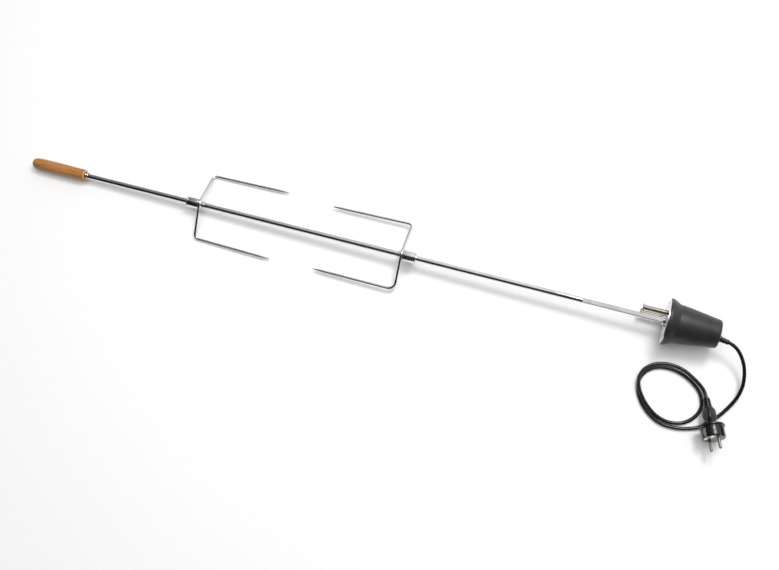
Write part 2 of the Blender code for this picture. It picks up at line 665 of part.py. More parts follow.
def make_cord_clamp():
    """A block with two screws that grips the cord inside the housing, and the terminal block."""
    exit_x, exit_y = RELIEF_EXIT
    centre_x = 0.0725
    centre_y = exit_y + (exit_x - centre_x) * math.tan(RELIEF_ANGLE)
    clamp = block("cord_clamp", (-0.0035, -0.0100, -0.0050), (0.0035, 0.0100, 0.0050),
                  (centre_x, centre_y, 0))
    cut(clamp, cylinder("clamp_bore", CORD_BORE_R, -0.02, -0.002, (exit_x, exit_y, 0),
                        relief_rotation(), sides=16))
    profile = [
        (0, 0.0070), (0.0016, 0.0070), (0.0026, 0.0062), (0.0026, 0.0053), (0.0012, 0.0053),
        (0.0012, -0.0060), (0, -0.0060),
    ]
    for number, side in enumerate((-1, 1), 1):
        here = (centre_x, centre_y + side * 0.0070, 0)
        cut(clamp, cylinder(f"clamp_hole_{number}", 0.0015, -0.01, 0.01, here, (0, 0, 0), sides=12))
        paint(turned(f"cord_clamp_screw_{number}", profile, here, (0, 0, 0), steps=12), "steel")
    paint(clamp, "nylon")
    terminal = block("terminal_block", (0.0560, -0.0180, -0.0060), (0.0640, -0.0020, 0.0060))
    for side in (-1, 1):
        cut(terminal, cylinder(f"terminal_hole_{side}", 0.0018, 0.05, 0.07, (0, -0.010 + side * 0.004, 0),
                               sides=12))
    paint(terminal, "nylon")


def smooth_route(points, steps):
    """Read evenly spaced points off a smooth curve through the route's own points."""
    points = [Vector(point) for point in points]
    ends = [2 * points[0] - points[1], *points, 2 * points[-1] - points[-2]]
    dense = []
    for before, start, end, after in zip(ends, ends[1:], ends[2:], ends[3:]):
        for step in range(16):
            t = step / 16
            dense.append(0.5 * (2 * start + (end - before) * t
                                + (2 * before - 5 * start + 4 * end - after) * t ** 2
                                + (3 * start - before - 3 * end + after) * t ** 3))
    dense.append(points[-1])
    lengths = [0]
    for start, end in zip(dense, dense[1:]):
        lengths.append(lengths[-1] + (end - start).length)
    result, index = [], 0
    for step in range(steps):
        target = lengths[-1] * step / (steps - 1)
        while index < len(dense) - 2 and lengths[index + 1] < target:
            index += 1
        share = (target - lengths[index]) / (lengths[index + 1] - lengths[index])
        result.append(dense[index].lerp(dense[index + 1], share))
    return result


def make_cord():
    route = [Vector(point) / 1000 for point in CORD_ROUTE_MM]
    cord = tube("power_cord", smooth_route(route, CORD_STEPS), CORD_R, parent=MOTOR_FOOT)
    paint(cord, "black_vinyl")


def make_plug_pose():
    """An empty at the back of the plug: local Z along the plug, local X along its pair of pins."""
    axis = (PLUG_FACE - PLUG_BACK).normalized()
    side = Vector((-axis.y, axis.x, 0)).normalized()
    up = axis.cross(side)
    pins = side * math.cos(PLUG_ROLL) + up * math.sin(PLUG_ROLL)
    frame = Matrix((pins, axis.cross(pins), axis)).transposed()
    pose = new_empty("plug_pose", PLUG_BACK, frame.to_euler())
    pose.parent = MOTOR_FOOT
    return pose


def make_boot(pose):
    """The ribbed sleeve behind the plug."""
    profile = [(CORD_BORE_R, PLUG_BODY_START - GAP)]
    rib_pitch = 0.0041
    for rib in range(4):
        top = PLUG_BODY_START - GAP - rib * rib_pitch
        radius = 0.0064 - rib * 0.0002
        profile += [(radius, top), (radius, top - 0.0026), (radius - 0.0012, top - 0.0028),
                    (radius - 0.0012, top - 0.0039)]
    profile[-1] = (profile[-1][0], 0)
    profile.append((CORD_BORE_R, 0))
    boot = turned("plug_boot", profile, rotation=(0, 0, 0), steps=14, ring=True, parent=pose)
    paint(boot, "black_vinyl")


def make_plug_body(pose):
    """A grip, a flange and a round front with notches at the sides for the socket's guides."""
    upright = (0, 0, 0)
    face = PLUG_LENGTH
    profile = [
        (0, face), (PLUG_FRONT_R - 0.0012, face), (PLUG_FRONT_R, face - 0.0012),
        (PLUG_FRONT_R, 0.0515), (PLUG_FLANGE_R - 0.0006, 0.0510), (PLUG_FLANGE_R, 0.0504),
        (PLUG_FLANGE_R, 0.0481), (PLUG_FLANGE_R - 0.0006, 0.0475), (0.0125, 0.0465),
        (0.0118, 0.0440), (0.0098, 0.0425), (0.0098, 0.0215), (0.0080, PLUG_BODY_START),
        (0, PLUG_BODY_START),
    ]
    body = turned("plug_body", profile, rotation=upright, steps=24, parent=pose)
    for side in (-1, 1):
        low_x, high_x = sorted((side * 0.0162, side * PLUG_FLANGE_R))
        low_y, high_y = sorted((side * CLIP_SEAT_R, side * PLUG_FLANGE_R))
        cut(body,
            block(f"guide_notch_{side}", (low_x, -0.0035, PLUG_RECESS_START),
                  (high_x, 0.0035, face + 0.001), parent=pose),
            block(f"clip_recess_{side}", (-0.0040, low_y, PLUG_RECESS_START),
                  (0.0040, high_y, face + 0.001), parent=pose),
            cylinder(f"pin_hole_{side}", PIN_R + GAP, face - 0.0100, face + 0.001,
                     (side * PIN_HALF_SPACING, 0, 0), upright, sides=16, parent=pose))
    cut(body, cylinder("earth_hole", 0.0027, face - 0.0120, face + 0.001, (0, 0.0100, 0), upright,
                       sides=16, parent=pose))
    paint(body, "black_vinyl")


def make_pins(pose):
    low = PLUG_LENGTH - 0.0095
    tip = PLUG_LENGTH + PIN_LENGTH
    profile = [
        (0, tip), (0.0010, tip - 0.0002), (0.0019, tip - 0.0009), (PIN_R, tip - 0.0022), (PIN_R, low),
        (0, low),
    ]
    for number, side in enumerate((-1, 1), 1):
        here = (side * PIN_HALF_SPACING, 0, 0)
        paint(turned(f"plug_pin_{number}", profile, here, (0, 0, 0), steps=12, parent=pose), "nickel")


def make_earth_clips(pose):
    """Two bowed strips in the recesses of the plug's front."""
    inner = CLIP_SEAT_R + GAP
    outer = inner + 0.0008
    bow = 0.0013
    low = PLUG_RECESS_START + GAP
    high = PLUG_LENGTH - 0.0006
    middle = (low + high) / 2
    strip = (
        (inner, low), (outer, low), (outer, low + 0.0025), (outer + bow, middle),
        (outer, high - 0.0020), (outer, high), (inner, high), (inner, high - 0.0024),
        (inner + bow, middle), (inner, low + 0.0029),
    )
    turn = Matrix(((0, 0, 1), (1, 0, 0), (0, 1, 0))).to_euler()
    for number, side in enumerate((-1, 1), 1):
        outline = [(side * height, along) for height, along in strip]
        clip = extruded(f"plug_earth_clip_{number}", outline[::side], -0.0030, 0.0030, rotation=turn,
                        parent=pose)
        paint(clip, "nickel")


def build():
    make_handle()
    make_ferrule()
    make_rod()
    for side in FORK_X:
        make_collar(side)
        make_tines(side)
        make_thumbscrew(side)
    make_housing()
    make_face_plate()
    make_plate_screws()
    make_studs()
    make_output()
    make_idler("first_idler_gear", FIRST_IDLER, OUTPUT_MODULE, (0.0105, 0.0172), (0.0170, 0.0195),
               TO_FIRST, TO_SECOND)
    make_idler("second_idler_gear", SECOND_IDLER, FINE_MODULE, (0.0167, 0.0204), (0.0202, 0.0227),
               TO_SECOND, TO_ROTOR)
    make_rotor()
    make_gear_frame()
    make_stator()
    make_strain_relief()
    make_cord_clamp()
    make_cord()
    pose = make_plug_pose()
    make_boot(pose)
    make_plug_body(pose)
    make_pins(pose)
    make_earth_clips(pose)


build()
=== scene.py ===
"""Looks of the rotisserie spit roaster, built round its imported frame.

Most pieces are made in the spit frame: X runs along the rod from the handle to the motor, x = 0 is the
motor housing's front rim and the rod's axis is y = z = 0. The plug has a frame of its own, with its pins
along X and Z from the cord to the pins. finished() then puts each piece into world coordinates. Lengths
are in metres.
"""
import json
import math

import bmesh
import bpy
from mathutils import Euler, Matrix, Vector


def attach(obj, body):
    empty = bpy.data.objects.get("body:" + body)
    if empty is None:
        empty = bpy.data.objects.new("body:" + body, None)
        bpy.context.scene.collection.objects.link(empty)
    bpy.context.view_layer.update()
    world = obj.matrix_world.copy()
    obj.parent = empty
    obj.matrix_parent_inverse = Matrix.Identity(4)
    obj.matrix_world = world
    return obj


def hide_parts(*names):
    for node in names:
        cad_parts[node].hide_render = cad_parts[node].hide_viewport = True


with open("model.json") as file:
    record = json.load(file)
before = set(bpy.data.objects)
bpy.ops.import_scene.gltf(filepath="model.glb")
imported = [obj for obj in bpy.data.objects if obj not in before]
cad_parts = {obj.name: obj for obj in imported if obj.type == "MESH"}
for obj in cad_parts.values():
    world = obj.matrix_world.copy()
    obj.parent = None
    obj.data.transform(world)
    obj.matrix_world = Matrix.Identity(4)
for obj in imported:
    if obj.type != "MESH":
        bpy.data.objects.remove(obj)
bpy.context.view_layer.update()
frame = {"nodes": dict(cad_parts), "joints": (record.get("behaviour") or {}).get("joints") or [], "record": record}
SCENE = bpy.context.scene

GAP = 0.0003                   # between neighbouring pieces

# Studio
FLOOR_SIZE = 9
FLOOR_DROP = 0.0001
BACKDROP_R = 3.2
BACKDROP_FOOT = -0.001
BACKDROP_TOP = 4.5

# How finely shapes are divided
CORNER_STEPS = 3
CORNER_SHARE = 0.42            # the most of a side that one corner's curve may take
BEND_STEPS = 10
TOOL_SEGMENTS = 48
FLAT_STEPS = 12
ROUND_STEPS = 6
HANDLE_STEPS = 12
WELD_STEPS = 8
CLIP_STEPS = 14
ROUTE_STEPS = 16
ROUTE_SPACING = 0.004

# Spit rod and handle, with places along the spit frame's X
ROD_R = 0.005
FLAT_HALF = 0.004              # from the rod's axis to a flat of the square end
SQUARE_START = -0.137
ROD_TAIL = -1.1485
ROD_DRIVE_END = 0.014
ROD_CHAMFER = 0.0007
FLAT_RUN_OUT = 0.0008
HANDLE_BUTT = -1.172
HANDLE_FRONT = -1.062
HANDLE_BORE_END = -1.150
HANDLE_R = 0.0100
HANDLE_SWELL = 0.00075
HANDLE_LIP = 0.0015
HANDLE_DOME = 0.0140
FERRULE_R = 0.0065
FERRULE_NECK_R = 0.00625
FERRULE_OUT = 0.0055
FERRULE_SEAT_R = 0.0070
FERRULE_SEAT_DEPTH = 0.0025
BORE_R = ROD_R + GAP

# Meat forks: where each one's wire crosses the rod, and which way its prongs point
FORK_X = {"left": -0.8285, "right": -0.4493}
FORK_INWARD = {"left": 1, "right": -1}
WIRE_R = 0.0025
PRONG_LENGTH = 0.148
PRONG_SPREAD = 0.0596
PRONG_DROP = 0.0168
WIRE_PEAK = 0.0100
PEAK_BEND_R = 0.010
CORNER_BEND_R = {"left": (0.008, 0.008), "right": (0.008, 0.013)}
TIP_SHIFT = {                  # how far each tip is off, along the rod and across it
    "left": ((0.0, 0.0028), (0.0, 0.0028)),
    "right": ((0.0, -0.0028), (0.003, 0.0)),
}
TIP_TAPER = 0.022
TIP_SHAPE = (                  # share of the taper's length, share of the wire's radius
    (0.0, 0.06), (0.03, 0.20), (0.15, 0.42), (0.4, 0.68), (0.7, 0.88), (0.9, 0.975), (1.0, 1.0),
)
WELD_START = 0.0042
WELD_LENGTH = 0.0095
WELD_R = 0.00125
WELD_DROP = 0.0019
COLLAR_R = 0.010
COLLAR_LENGTH = 0.0226
COLLAR_FACE = WIRE_R + GAP
COLLAR_CHAMFER = 0.0006
COLLAR_GROOVE_FROM_BACK = 0.0042
COLLAR_GROOVE_WIDTH = 0.0012
COLLAR_GROOVE_DEPTH = 0.00025
NECK_R = 0.0062
NECK_LENGTH = 0.0100
SCREW_R = 0.003
SCREW_OFFSET = 0.0141
SCREW_HEAD_R = 0.0055
SCREW_HEAD_TOP = -0.0125
SCREW_HEAD_HEIGHT = 0.005
SCREW_PITCH = 0.0007
KNURLS = 20
KNURL_POINTS = 8

# Motor, with places along the spit frame's X
RIM_R = 0.0385
HOUSING_REAR = 0.084
PLATE_R = 0.0365
PLATE_FRONT = -0.0023
PLATE_HOLE_R = 0.011
PLATE_SCREW_CIRCLE = 0.030
PLATE_SCREW_ANGLES = (5, 125, 245)
PLATE_SCREW_R = 0.0015
PLATE_SCREW_END = 0.0095
CROSS_HALF_LENGTH = 0.0017
CROSS_HALF_WIDTH = 0.0003
BOSS_R = 0.0035
BOSS_END = 0.013
BOSS_HOLE_END = 0.0105
STUD_PLACES = ((0.0107, 0.0170), (0.0083, -0.0190))
STUD_R = 0.004
STUD_LENGTH = 0.0395
STUD_HEAD_R = 0.006
STUD_NECK_R = 0.0025
STUD_END = 0.0115
SOCKET_FRONT = -0.0063
SOCKET_REAR = 0.0166
SOCKET_R = 0.007
SOCKET_SHAFT_R = 0.002
SOCKET_SHAFT_END = 0.0308
SQUARE_BORE_HALF = 0.0043
SQUARE_BORE_END = 0.0150

# Cord, strain relief and plug. The plug's two ends and the cord's route are measured from MOTOR_FOOT,
# the strain relief from the housing's rear, and what is on the plug from PLUG_BACK, the boot's end.
CORD_R = 0.003
CORD_BORE_R = CORD_R + GAP
RELIEF_EXIT = (HOUSING_REAR, -0.0065)
RELIEF_ANGLE = math.radians(8)
RELIEF_END = 0.0172
RELIEF_HOLE_R = 0.0054
PLUG_BACK = Vector((0.0923, -0.1012, 0.0105))
PLUG_FACE = Vector((0.1134, -0.1624, 0.0331))
PLUG_ROLL = math.radians(54)
PLUG_LENGTH = 0.069
BOOT_LENGTH = 0.0167
BOOT_R = 0.0064
BOOT_RIBS = 4
RIB_PITCH = 0.0041
NOTCH_START = 0.053
NOTCH_FLOOR = 0.0162
NOTCH_OUTSIDE = 0.0205
NOTCH_HALF = 0.0035
CLIP_SLOT_HALF = 0.0040
CLIP_THICKNESS = 0.0008
CLIP_BOW = 0.0013
EARTH_HOLE_R = 0.0027
EARTH_HOLE_UP = 0.0100
EARTH_HOLE_DEPTH = 0.012
EARTH_RIM_HALVES = (0.0105, 0.0046)
EARTH_RIM_HOLE_R = 0.0023
EARTH_RIM_THICKNESS = 0.00035
PIN_R = 0.0024
PIN_HALF_SPACING = 0.0095
PIN_LENGTH = 0.019
PIN_SEAT = 0.0095
CORD_ROUTE_MM = (
    (66, -4.0, 40.0), (84, -6.5, 40.4), (99, -8.6, 40.8), (112, -12.9, 39.8), (124, -22.6, 35),
    (133.3, -36, 28.7), (139, -50.5, 22.5), (141.5, -68.5, 16.5), (138.5, -87.5, 10.5),
    (130, -106, 6), (118, -124.5, 3.4), (105, -138, 3.2), (92, -150, 3.2), (71, -158, 3.2),
    (52.5, -161, 3.2), (32.5, -159.5, 3.2), (13.5, -150.5, 3.2), (-2, -136.5, 3.2),
    (-12.5, -119, 3.2), (-15.5, -100.5, 3.2), (-8.5, -84, 3.2), (4.5, -73.5, 3.2),
    (21.5, -69, 3.2), (39, -70, 3.2), (55.5, -75.2, 3.2), (70, -83.5, 3.2), (80.6, -92.9, 3.2),
    (86.8, -103.4, 3.2), (89.5, -115, 3.2), (87, -127.6, 3.2), (81, -137.7, 3.2),
    (73, -145.4, 3.2), (62, -151.5, 3.2), (44.5, -154.3, 3.5), (26.5, -150.5, 4.4),
    (11, -141.5, 6.2), (-2.5, -129, 8.2), (-13, -113.5, 9.6), (-17, -98, 9.8), (-13, -82.5, 9.6),
    (0, -70, 9.4), (16.5, -64, 9.2), (34, -63.3, 9.4), (51, -67.3, 9.9), (64.5, -74.2, 10),
    (75, -80.6, 9.6), (84.6, -88.0, 8.7), (91.1, -97.6, 9.2), (95.4, -110.1, 13.8),
)

# Places that come from the frame
TURN = next(joint for joint in frame["joints"] if joint["name"] == "spit_turn")
SPIT_AXIS = Vector(TURN["axis"]).normalized()
SPIT_UP = (Vector((0, 0, 1)) - SPIT_AXIS * SPIT_AXIS.z).normalized()
SPIT = Matrix.Translation(TURN["pos_m"]) @ Matrix(
    (SPIT_AXIS, SPIT_UP.cross(SPIT_AXIS), SPIT_UP)).transposed().to_4x4()
MOTOR_FOOT = Vector((TURN["pos_m"][0], 0, 0))    # on the floor, below the rim's centre
ALONG = Euler((math.pi / 2, 0, math.pi / 2)).to_matrix().to_4x4()      # local Z to +X, X to +Y
AGAINST = Euler((math.pi / 2, 0, -math.pi / 2)).to_matrix().to_4x4()   # local Z to -X
RELIEF_TURN = Matrix.Rotation(-RELIEF_ANGLE, 4, "Z") @ ALONG


# ---------------------------------------------------------------- camera, light and floor

def make_camera():
    data = bpy.data.cameras.new("camera")
    data.lens = 41.59
    data.sensor_width = 36
    data.clip_end = 20
    camera = bpy.data.objects.new("camera", data)
    camera.location = (0.34879, -0.25667, 1.53115)
    camera.rotation_euler = [math.radians(angle) for angle in (9.90726, 7.41297, 15.97038)]
    SCENE.collection.objects.link(camera)
    SCENE.camera = camera


def make_light(name, location, target, size, power, shines=True):
    """A round soft light; one that doesn't shine isn't seen in reflections."""
    data = bpy.data.lights.new(name, "AREA")
    data.shape = "DISK"
    data.size = size
    data.energy = power
    light = bpy.data.objects.new(name, data)
    light.visible_glossy = shines
    light.location = location
    light.rotation_euler = (Vector(target) - Vector(location)).to_track_quat("-Z", "Y").to_euler()
    SCENE.collection.objects.link(light)


def make_world():
    """Bright behind the object and dark in front and to the left, which gives the chrome its bands."""
    world = bpy.data.worlds.new("studio")
    SCENE.world = world
    world.use_nodes = True
    tree = world.node_tree
    coordinates = tree.nodes.new("ShaderNodeTexCoord")
    split = tree.nodes.new("ShaderNodeSeparateXYZ")
    tree.links.new(coordinates.outputs["Generated"], split.inputs[0])

    def graded(source, start, end, low, high):
        node = tree.nodes.new("ShaderNodeMapRange")
        node.interpolation_type = "SMOOTHSTEP"
        for socket, value in zip(("From Min", "From Max", "To Min", "To Max"), (start, end, low, high)):
            node.inputs[socket].default_value = value
        tree.links.new(source, node.inputs["Value"])
        return node.outputs["Result"]

    def product(first, second):
        node = tree.nodes.new("ShaderNodeMath")
        node.operation = "MULTIPLY"
        tree.links.new(first, node.inputs[0])
        tree.links.new(second, node.inputs[1])
        return node.outputs["Value"]

    back = graded(split.outputs["Y"], -0.20, 0.30, 0.05, 1.0)
    right = graded(split.outputs["X"], -0.62, -0.05, 0.18, 1.0)
    high = graded(split.outputs["Z"], 0.0, 0.30, 0.45, 1.0)
    tree.links.new(product(product(back, right), high), tree.nodes["Background"].inputs["Color"])
    tree.nodes["Background"].inputs["Strength"].default_value = 0.9
    SCENE.view_settings.view_transform = "Standard"


def make_floor():
    bpy.ops.mesh.primitive_plane_add(size=FLOOR_SIZE, location=(0.1, 0, -FLOOR_DROP))
    floor = bpy.context.object
    floor.name = "floor"
    material = bpy.data.materials.new("floor_paper")
    material.use_nodes = True
    shader = material.node_tree.nodes["Principled BSDF"]
    shader.inputs["Base Color"].default_value = (0.93, 0.93, 0.93, 1)
    shader.inputs["Roughness"].default_value = 0.9
    shader.inputs["Specular IOR Level"].default_value = 0.1
    floor.data.materials.append(material)


def make_backdrop():
    """A pale wall round the floor, seen by the camera only: it takes no light and gives none."""
    profile = [(BACKDROP_R, BACKDROP_FOOT), (BACKDROP_R, BACKDROP_TOP)]
    wall = turned("backdrop", profile, Matrix.Identity(4), 96)
    material = bpy.data.materials.new("backdrop_paper")
    material.use_nodes = True
    shader = material.node_tree.nodes["Principled BSDF"]
    shader.inputs["Base Color"].default_value = (0, 0, 0, 1)
    shader.inputs["Specular IOR Level"].default_value = 0
    shader.inputs["Emission Color"].default_value = (0.80, 0.80, 0.80, 1)
    shader.inputs["Emission Strength"].default_value = 1
    wall.data.materials.append(material)
    for rays in ("diffuse", "glossy", "transmission", "shadow"):
        setattr(wall, f"visible_{rays}", False)


def set_ramp(node, stops):
    """Give a colour ramp its stops, each a place and a colour."""
    elements = node.color_ramp.elements
    while len(elements) < len(stops):
        elements.new(0.5)
    for element, (place, colour) in zip(elements, stops):
        element.position = place
        element.color = colour


# ---------------------------------------------------------------- materials

class Surface:
    """A Principled material with a few shorthands for its texture nodes."""

    def __init__(self, name, roughness, metallic=0.0):
        self.material = bpy.data.materials.new(name)
        self.material.use_nodes = True
        self.tree = self.material.node_tree
        self.shader = self.tree.nodes["Principled BSDF"]
        self.shader.inputs["Roughness"].default_value = roughness
        self.shader.inputs["Metallic"].default_value = metallic
        self.coordinates = self.tree.nodes.new("ShaderNodeTexCoord").outputs["Object"]
        self.normal = None

    def link(self, source, target):
        self.tree.links.new(source, target)

    def stretched(self, scale):
        """Coordinates that put scale times as much texture along each axis."""
        mapping = self.tree.nodes.new("ShaderNodeMapping")
        mapping.inputs["Scale"].default_value = scale
        self.link(self.coordinates, mapping.inputs["Vector"])
        return mapping.outputs["Vector"]

    def noise(self, scale, detail, vector=None, distortion=0.0, roughness=0.5):
        node = self.tree.nodes.new("ShaderNodeTexNoise")
        node.inputs["Scale"].default_value = scale
        node.inputs["Detail"].default_value = detail
        node.inputs["Distortion"].default_value = distortion
        node.inputs["Roughness"].default_value = roughness
        self.link(vector or self.coordinates, node.inputs["Vector"])
        return node.outputs["Fac"]

    def cells(self, scale):
        node = self.tree.nodes.new("ShaderNodeTexVoronoi")
        node.inputs["Scale"].default_value = scale
        self.link(self.coordinates, node.inputs["Vector"])
        return node.outputs["Distance"]

    def ramp(self, value, *stops):
        node = self.tree.nodes.new("ShaderNodeValToRGB")
        set_ramp(node, [(place, (*colour, 1)) for place, colour in stops])
        self.link(value, node.inputs["Fac"])
        return node.outputs["Color"]

    def spread(self, value, low, high, start=0.3, end=0.7):
        """The value's range from start to end, spread over low to high."""
        node = self.tree.nodes.new("ShaderNodeMapRange")
        node.inputs["From Min"].default_value = start
        node.inputs["From Max"].default_value = end
        node.inputs["To Min"].default_value = low
        node.inputs["To Max"].default_value = high
        self.link(value, node.inputs["Value"])
        return node.outputs["Result"]

    def mix(self, share, first, second):
        """A share of the second in the first: each is a number, a colour or a node's output."""
        node = self.tree.nodes.new("ShaderNodeMixRGB")
        for socket, value in (("Fac", share), ("Color1", first), ("Color2", second)):
            if isinstance(value, (int, float)):
                node.inputs[socket].default_value = value
            elif isinstance(value, tuple):
                node.inputs[socket].default_value = (*value, 1)
            else:
                self.link(value, node.inputs[socket])
        return node.outputs["Color"]

    def axis(self, letter):
        """One of the object's coordinates, which finished() makes a world coordinate."""
        node = self.tree.nodes.new("ShaderNodeSeparateXYZ")
        self.link(self.coordinates, node.inputs[0])
        return node.outputs[letter]

    def bump(self, height, strength, distance):
        """Relief from a texture, on top of the relief that is there already."""
        node = self.tree.nodes.new("ShaderNodeBump")
        node.inputs["Strength"].default_value = strength
        node.inputs["Distance"].default_value = distance
        self.link(height, node.inputs["Height"])
        if self.normal:
            self.link(self.normal, node.inputs["Normal"])
        self.normal = node.outputs["Normal"]
        self.link(self.normal, self.shader.inputs["Normal"])

    def feed(self, socket, source):
        self.link(source, self.shader.inputs[socket])

    def give(self, **constants):
        """Set the shader's constants, named with _ for a space, and hand over the material."""
        for socket, value in constants.items():
            self.shader.inputs[socket.replace("_", " ")].default_value = value
        return self.material


def plated(name, bright, dull, roughness, lines=(900, 30, 30)):
    """Plated metal: polish lines along one direction, smears, and a few dark pits."""
    surface = Surface(name, roughness, 1.0)
    smears = surface.noise(38, 4, distortion=0.6)
    polish = surface.noise(1.0, 2, surface.stretched(lines))
    specks = surface.spread(surface.cells(420), 1, 0, 0.05, 0.16)
    colour = surface.ramp(smears, (0.32, dull), (0.62, bright))
    pitted = surface.mix(specks, colour, tuple(value * 0.25 for value in dull))
    pits = surface.spread(surface.noise(60, 2), 0, 0.35, 0.55, 0.75)
    surface.feed("Base Color", surface.mix(pits, colour, pitted))
    rough = surface.mix(0.5, surface.spread(smears, roughness * 0.6, roughness * 1.6),
                        surface.spread(polish, roughness * 0.7, roughness * 1.4))
    surface.feed("Roughness", rough)
    surface.bump(polish, 0.10, 0.00012)
    surface.bump(surface.noise(210, 3), 0.05, 0.0003)
    return surface.give()


def wood(name):
    """Varnished turned hardwood: long grain, pores, darker streaks, and a painted highlight: a paler band along
    the cut front edge where the chamfer catches the light.
    """
    surface = Surface(name, 0.42)
    grain = surface.noise(1.0, 6, surface.stretched((9, 150, 150)), 1.2, 0.62)
    figure = surface.noise(1.0, 3, surface.stretched((5, 42, 42)), 2.2)
    pores = surface.noise(1.0, 2, surface.stretched((75, 1300, 1300)))
    base = surface.ramp(grain, (0.30, (0.200, 0.072, 0.016)), (0.48, (0.390, 0.162, 0.040)),
                        (0.68, (0.540, 0.255, 0.074)))
    streaked = surface.mix(surface.spread(figure, 0.0, 0.55, 0.50, 0.72), base, (0.230, 0.080, 0.020))
    pored = surface.mix(surface.spread(pores, 0, 0.5, 0.60, 0.78), streaked, (0.115, 0.038, 0.012))
    # Painted highlight: a band of paler colour at the front edge stands in for the light caught by the chamfer.
    edge = (SPIT @ Vector((HANDLE_FRONT, 0, 0))).x
    front = surface.spread(surface.axis("X"), 0, 0.8, edge - 0.0022, edge - 0.0010)
    grime = surface.spread(surface.noise(22, 4), 0, 0.35, 0.52, 0.8)
    painted_edge_highlight = surface.mix(front, surface.mix(grime, pored, (0.16, 0.060, 0.020)), (0.66, 0.36, 0.14))
    surface.feed("Base Color", painted_edge_highlight)
    surface.feed("Roughness", surface.spread(grain, 0.34, 0.56))
    surface.bump(pores, 0.35, 0.00025)
    surface.bump(grain, 0.28, 0.0004)
    return surface.give(Coat_Weight=0.25, Coat_Roughness=0.28)


def moulded(name, base, worn, roughness, texture=2600, depth=0.00010, coat=0.0):
    """Moulded plastic: an even spark-eroded texture, rubbed smoother and paler in patches."""
    surface = Surface(name, roughness)
    patches = surface.noise(26, 5, distortion=0.8)
    dust = surface.spread(surface.noise(900, 2), 0, 0.30, 0.62, 0.80)
    colour = surface.ramp(patches, (0.35, base), (0.75, worn))
    surface.feed("Base Color", surface.mix(dust, colour, tuple(value * 1.9 + 0.01 for value in worn)))
    surface.feed("Roughness", surface.spread(patches, roughness + 0.06, roughness - 0.07))
    surface.bump(surface.noise(texture, 3), 0.5, depth)
    surface.bump(surface.noise(70, 2), 0.12, 0.0006)
    return surface.give(Coat_Weight=coat, Coat_Roughness=0.2)


def winding(name):
    """Enamelled copper wire, wound round the coil."""
    surface = Surface(name, 0.3, 0.9)
    turns = surface.noise(1.0, 1, surface.stretched((2600, 60, 60)))
    copper = surface.ramp(turns, (0.35, (0.26, 0.07, 0.02)), (0.65, (0.72, 0.28, 0.10)))
    surface.feed("Base Color", copper)
    surface.feed("Roughness", surface.spread(turns, 0.45, 0.22))
    surface.bump(turns, 0.8, 0.0003)
    return surface.give()


MATERIALS = {
    "wood": wood("handle_wood"),
    "chrome": plated("rod_chrome", (0.80, 0.80, 0.81), (0.70, 0.70, 0.71), 0.10),
    "steel": plated("bright_steel", (0.78, 0.78, 0.78), (0.60, 0.60, 0.61), 0.26, (40, 40, 700)),
    "nickel": plated("warm_nickel", (0.37, 0.34, 0.295), (0.27, 0.245, 0.21), 0.42),
    "charcoal_plastic": moulded("charcoal_plastic", (0.016, 0.016, 0.017), (0.028, 0.028, 0.029), 0.43,
                                texture=1700, depth=0.00018),
    "black_vinyl": moulded("black_vinyl", (0.004, 0.004, 0.0042), (0.009, 0.009, 0.0095), 0.27,
                           texture=1500, depth=0.00005, coat=0.2),
    "brass": plated("gear_brass", (0.80, 0.60, 0.26), (0.60, 0.42, 0.17), 0.28),
    "nylon": moulded("white_nylon", (0.66, 0.64, 0.58), (0.74, 0.72, 0.66), 0.45),
    "magnet": moulded("dark_ferrite", (0.040, 0.040, 0.043), (0.070, 0.068, 0.070), 0.55),
    "copper_winding": winding("copper_winding"),
}


# ---------------------------------------------------------------- shapes

def finished(obj, slot, body, nodes=(), smooth=38):
    """Put a piece's place into its mesh, and give it its shading, material, body and CAD nodes."""
    obj.data.transform(obj.matrix_world)
    obj.matrix_world = Matrix.Identity(4)
    if obj.type == "MESH":
        obj.data.shade_smooth()
        obj.data.set_sharp_from_angle(angle=math.radians(smooth))
    obj.data.materials.clear()
    obj.data.materials.append(MATERIALS[slot])
    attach(obj, body)
    if nodes:
        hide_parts(*nodes)
    return obj


def new_object(name, shape, matrix):
    """Make the shape an object of the scene, with its faces pointing out."""
    mesh = bpy.data.meshes.new(name)
    bmesh.ops.recalc_face_normals(shape, faces=shape.faces)
    shape.to_mesh(mesh)
    shape.free()
    obj = bpy.data.objects.new(name, mesh)
    obj.matrix_world = matrix
    SCENE.collection.objects.link(obj)
    return obj


def softened(profile, radius, ring):
    """The profile with each corner replaced by a short curve; the ends are kept unless it is a ring."""
    points = [Vector(point) for point in profile]
    count = len(points)
    result = []
    for index, corner in enumerate(points):
        if not ring and index in (0, count - 1):
            result.append(corner)
            continue
        before, after = points[index - 1], points[(index + 1) % count]
        shorter = min((before - corner).length, (after - corner).length)
        reach = min(radius, CORNER_SHARE * shorter)
        start = corner + (before - corner).normalized() * reach
        end = corner + (after - corner).normalized() * reach
        for step in range(CORNER_STEPS + 1):
            t = step / CORNER_STEPS
            result.append(start * (1 - t) ** 2 + corner * 2 * t * (1 - t) + end * t ** 2)
    return result


def loft(name, sections, matrix, closed=False):
    """Skin rings of points; a ring of one point is a pole. closed joins the last ring to the first."""
    shape = bmesh.new()
    rings = [[shape.verts.new(point) for point in section] for section in sections]
    pairs = list(zip(rings, rings[1:]))
    if closed:
        pairs.append((rings[-1], rings[0]))
    for first, second in pairs:
        around = max(len(first), len(second))
        for index in range(around):
            corners = [first[index % len(first)], first[(index + 1) % len(first)],
                       second[(index + 1) % len(second)], second[index % len(second)]]
            unique = list(dict.fromkeys(corners))
            if len(unique) > 2:
                shape.faces.new(unique)
    return new_object(name, shape, matrix)


